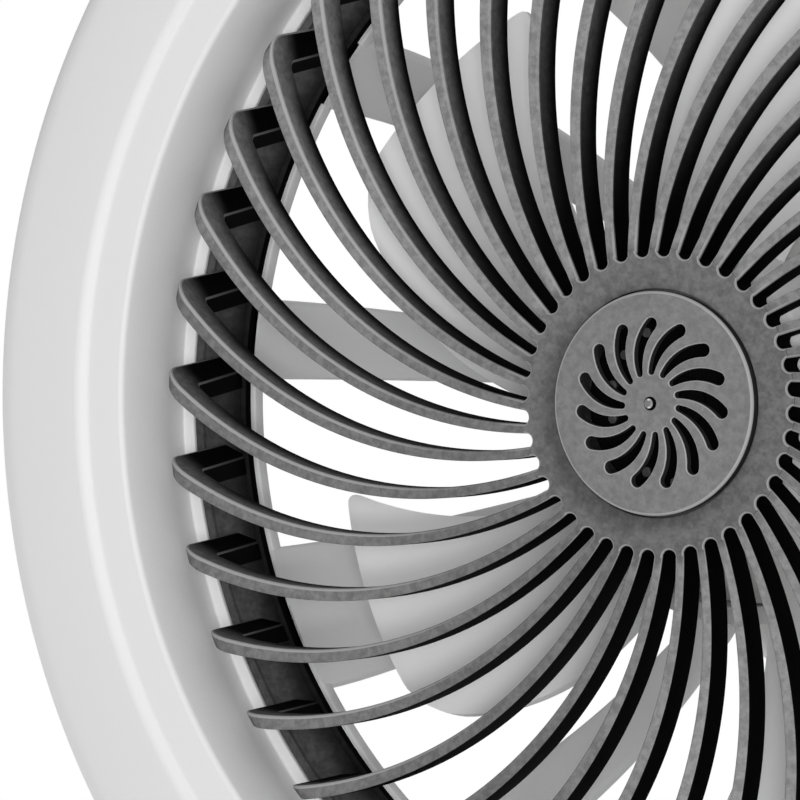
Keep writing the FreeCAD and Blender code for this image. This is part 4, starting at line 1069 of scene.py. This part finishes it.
chamfer_middle = CHAMFER_MIDDLE * SLOT_EDGE
levels = [slot_outline(SLOT_EDGE, lambda radius: SLOT_TOOL_D[0]),
          slot_outline(SLOT_EDGE, lambda radius: dome_depth(radius) - TOOL_CLEAR),
          slot_outline(chamfer_middle, lambda radius: dome_depth(radius) + chamfer_middle),
          slot_outline(0.0, lambda radius: dome_depth(radius) + SLOT_EDGE),
          slot_outline(0.0, lambda radius: SLOT_TOOL_D[1])]
slots = drawn("cap_slots", levels[0])
bpy.ops.mesh.select_all(action="SELECT")
bpy.ops.mesh.edge_face_add()
for here, there in zip(levels, levels[1:]):
    bpy.ops.mesh.extrude_region_move(TRANSFORM_OT_translate={"value": (0, 0, MM)})
    # Each point just extruded goes to its place on the next outline.
    tool = bmesh.from_edit_mesh(slots.data)
    for point in tool.verts:
        if point.select:
            was = point.co - Vector((0, 0, MM))
            nearest = min(range(len(here)), key=lambda index: (here[index] - was).length)
            point.co = there[nearest]
    bmesh.update_edit_mesh(slots.data)
close_up(slots)
ring_of(slots, CAP_SLOTS, SLOT_PHASE_DEG)
cut(hub_cap, slots)


def slot_highlight(face):
    """The eased rims of the slots and of the face get a painted highlight, the rim of the shaft's hole
    does not.
    """
    in_front = face.center.z / MM - FACE < SLOT_RIM_D
    beyond_hole = face.center.xy.length / MM > SLOT_RIM_R
    return 1.0 if in_front and beyond_hole and 0.15 < -face.normal.z < 0.96 else 0.0


mark_faces(hub_cap, "highlit_edge", slot_highlight)
smooth(hub_cap, degrees=14.0)

CAP_GREY = (0.192, 0.192, 0.194)
CAP_EDGE_HIGHLIGHT = (0.33, 0.33, 0.332)
CAP_WALL_SHADE = (0.006, 0.006, 0.006)
CAP_FRONT_TILT = (-0.6, -0.1)
cap_grey = bpy.data.materials.new("hub_cap_grey")
tree, shader, place, tone = grain_nodes(cap_grey, 0.5, grain_per_m=1300.0, relief=0.2)
shader.inputs["Specular IOR Level"].default_value = 0.3
grey = times(tree, toned(tree, tone, CAP_GREY, low=0.5, high=1.5), mottle(tree, place, strength=0.14))
# Painted shade: faces that do not look forward, the slot walls, go black.
front = ramp(tree, normal_z(tree), CAP_FRONT_TILT, (1.0, 0.1))
cap_shaded = between(tree, front, CAP_WALL_SHADE, grey)
# Painted highlight: the eased rims of the slots and of the face turn a lighter grey.
tree.links.new(between(tree, face_mark(tree, "highlit_edge"), cap_shaded, CAP_EDGE_HIGHLIGHT), shader.inputs["Base Color"])
hub_cap.data.materials.append(cap_grey)
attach(hub_cap, "housing")
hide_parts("hub_cap")

# Front bezel: a white ring moulding that closes the casing. Its face falls gently outwards from a
# crest, steps down to a flat lip, and turns back as the throat with a ledge for the grille.
CREST_R = 112.3
CREST_D = 4.0
STEP_R = 111.2
FLAT_D = 5.2
THROAT_R = 104.2
THROAT_FOOT_R = 103.5
THROAT_SWELL = 1.5
THROAT_SWELL_D = 11.9
THROAT_ARC = 5.8
LEDGE_R = 101.45
EDGE_D = 5.6
EDGE_ROUND = 6.0
BEZEL_PARTING_D = 23.0
LEDGE_BACK_D = 24.8
THROAT_BACK_R = 105.9
LIP_BACK_R = 106.6
LIP_BACK_D = 7.6
front_bezel = turned("front_bezel_ring", [
    (CASING_R, BEZEL_PARTING_D, 0.5), (CASING_R, EDGE_D, EDGE_ROUND), (CREST_R, CREST_D, 1.0),
    (STEP_R, FLAT_D, 0.6), (THROAT_R, FLAT_D, 0.8),
    (THROAT_R - THROAT_SWELL, THROAT_SWELL_D, THROAT_ARC), (THROAT_FOOT_R, LEDGE_D, 0.4),
    (LEDGE_R, LEDGE_D, 0.3), (LEDGE_R, LEDGE_BACK_D, 0.2), (THROAT_BACK_R, LEDGE_BACK_D, 0),
    (LIP_BACK_R, LIP_BACK_D, 0), (CREST_R, LIP_BACK_D, 0),
    (CASING_R - CASING_WALL, EDGE_D + CASING_WALL, EDGE_ROUND - CASING_WALL),
    (CASING_R - CASING_WALL, BEZEL_PARTING_D, 0.3)], steps=320)
smooth(front_bezel, degrees=40.0)
bezel_white = moulding("bezel_white", (0.75, 0.75, 0.75), 0.58, 2200.0, relief=0.16, drift=0.025)
front_bezel.data.materials.append(bezel_white)
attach(front_bezel, "housing")
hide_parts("front_bezel")

# Casing screws: six zinc-plated pan heads round the back ring, which draw the bezel's bosses to
# the housing.
bezel_screws = cross_screw(
    "bezel_cross_screws", shank_r=1.5, head_r=3.0, head_h=1.8, length=14.0,
    radius=118.2, seat_d=CASING_D)
ring_of(bezel_screws, count=6)
smooth(bezel_screws)
bezel_screws.data.materials.append(zinc)
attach(bezel_screws, "housing")
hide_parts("bezel_screws")

# Room: a plain pale floor far below, three soft lamps in front of the grille and one beside the
# ring, and a white background. The camera looks up at the grille from one side.
FLOOR_Z = -2.4
WHITE = (1.0, 1.0, 1.0, 1.0)
AMBIENT = 0.34
RING_MIDDLE = (0.0, 0.0, -0.12)
VIEW_MIDDLE = (-0.05, 0.0, -0.12)
bpy.ops.mesh.primitive_plane_add(size=14.0, location=(0, 0, FLOOR_Z))
floor = bpy.context.object
floor.name = floor.data.name = "studio_floor"
bpy.ops.object.transform_apply(location=True, rotation=True, scale=True)
floor_pale = moulding("floor_pale", (0.72, 0.72, 0.72), 0.8, grain_per_m=40.0, relief=0.05, drift=0.02)
floor.data.materials.append(floor_pale)


def lamp(name, where, aim, size, watts):
    """A square soft lamp at a place, facing another."""
    bpy.ops.object.light_add(type="AREA", location=where)
    light = bpy.context.object
    light.name = name
    light.data.size = size
    light.data.energy = watts
    light.rotation_mode = "QUATERNION"
    light.rotation_quaternion = (Vector(aim) - Vector(where)).to_track_quat("-Z", "Y")


lamp("key_lamp", (0.72, -0.62, -1.5), VIEW_MIDDLE, size=1.2, watts=8.2)
lamp("fill_lamp", (0.84, 0.02, -1.57), VIEW_MIDDLE, size=0.35, watts=11.3)
lamp("low_lamp", (0.7, 0.72, -1.4), VIEW_MIDDLE, size=1.2, watts=7.1)
lamp("rim_lamp", (-1.3, 0.35, 0.1), RING_MIDDLE, size=1.0, watts=4.5)

world = bpy.data.worlds.new("studio_white")
bpy.context.scene.world = world
world.use_nodes = True
tree = world.node_tree
light_path = tree.nodes.new("ShaderNodeLightPath")
seen = number(tree, "MAXIMUM", light_path.outputs["Is Camera Ray"], number(
    tree, "MAXIMUM", light_path.outputs["Is Glossy Ray"], light_path.outputs["Is Transmission Ray"]))
around = tree.nodes["Background"]
around.inputs["Color"].default_value = WHITE
around.inputs["Strength"].default_value = AMBIENT
backdrop = tree.nodes.new("ShaderNodeBackground")
backdrop.inputs["Color"].default_value = WHITE
backdrop.inputs["Strength"].default_value = 1.0
either = tree.nodes.new("ShaderNodeMixShader")
tree.links.new(seen, either.inputs[0])
tree.links.new(around.outputs[0], either.inputs[1])
tree.links.new(backdrop.outputs[0], either.inputs[2])
tree.links.new(either.outputs[0], tree.nodes["World Output"].inputs["Surface"])
bpy.context.scene.view_settings.view_transform = "Standard"

CAMERA_PLACE = Vector((0.3069, -0.0104, -0.706))
CAMERA_RIGHT = Vector((0.8518, 0.0, 0.5238))
CAMERA_BACK = Vector((0.5237, -0.0152, -0.8517))
LENS_MM = 190.1
back = CAMERA_BACK.normalized()
up = back.cross(CAMERA_RIGHT).normalized()
right = up.cross(back)
camera_data = bpy.data.cameras.new("photo_camera")
camera_data.lens = LENS_MM
camera_data.sensor_width = 36.0
camera_data.clip_start = 0.01
camera = bpy.data.objects.new("photo_camera", camera_data)
bpy.context.scene.collection.objects.link(camera)
camera.matrix_world = Matrix.Translation(CAMERA_PLACE) @ Matrix((right, up, back)).transposed().to_4x4()
bpy.context.scene.camera = camera
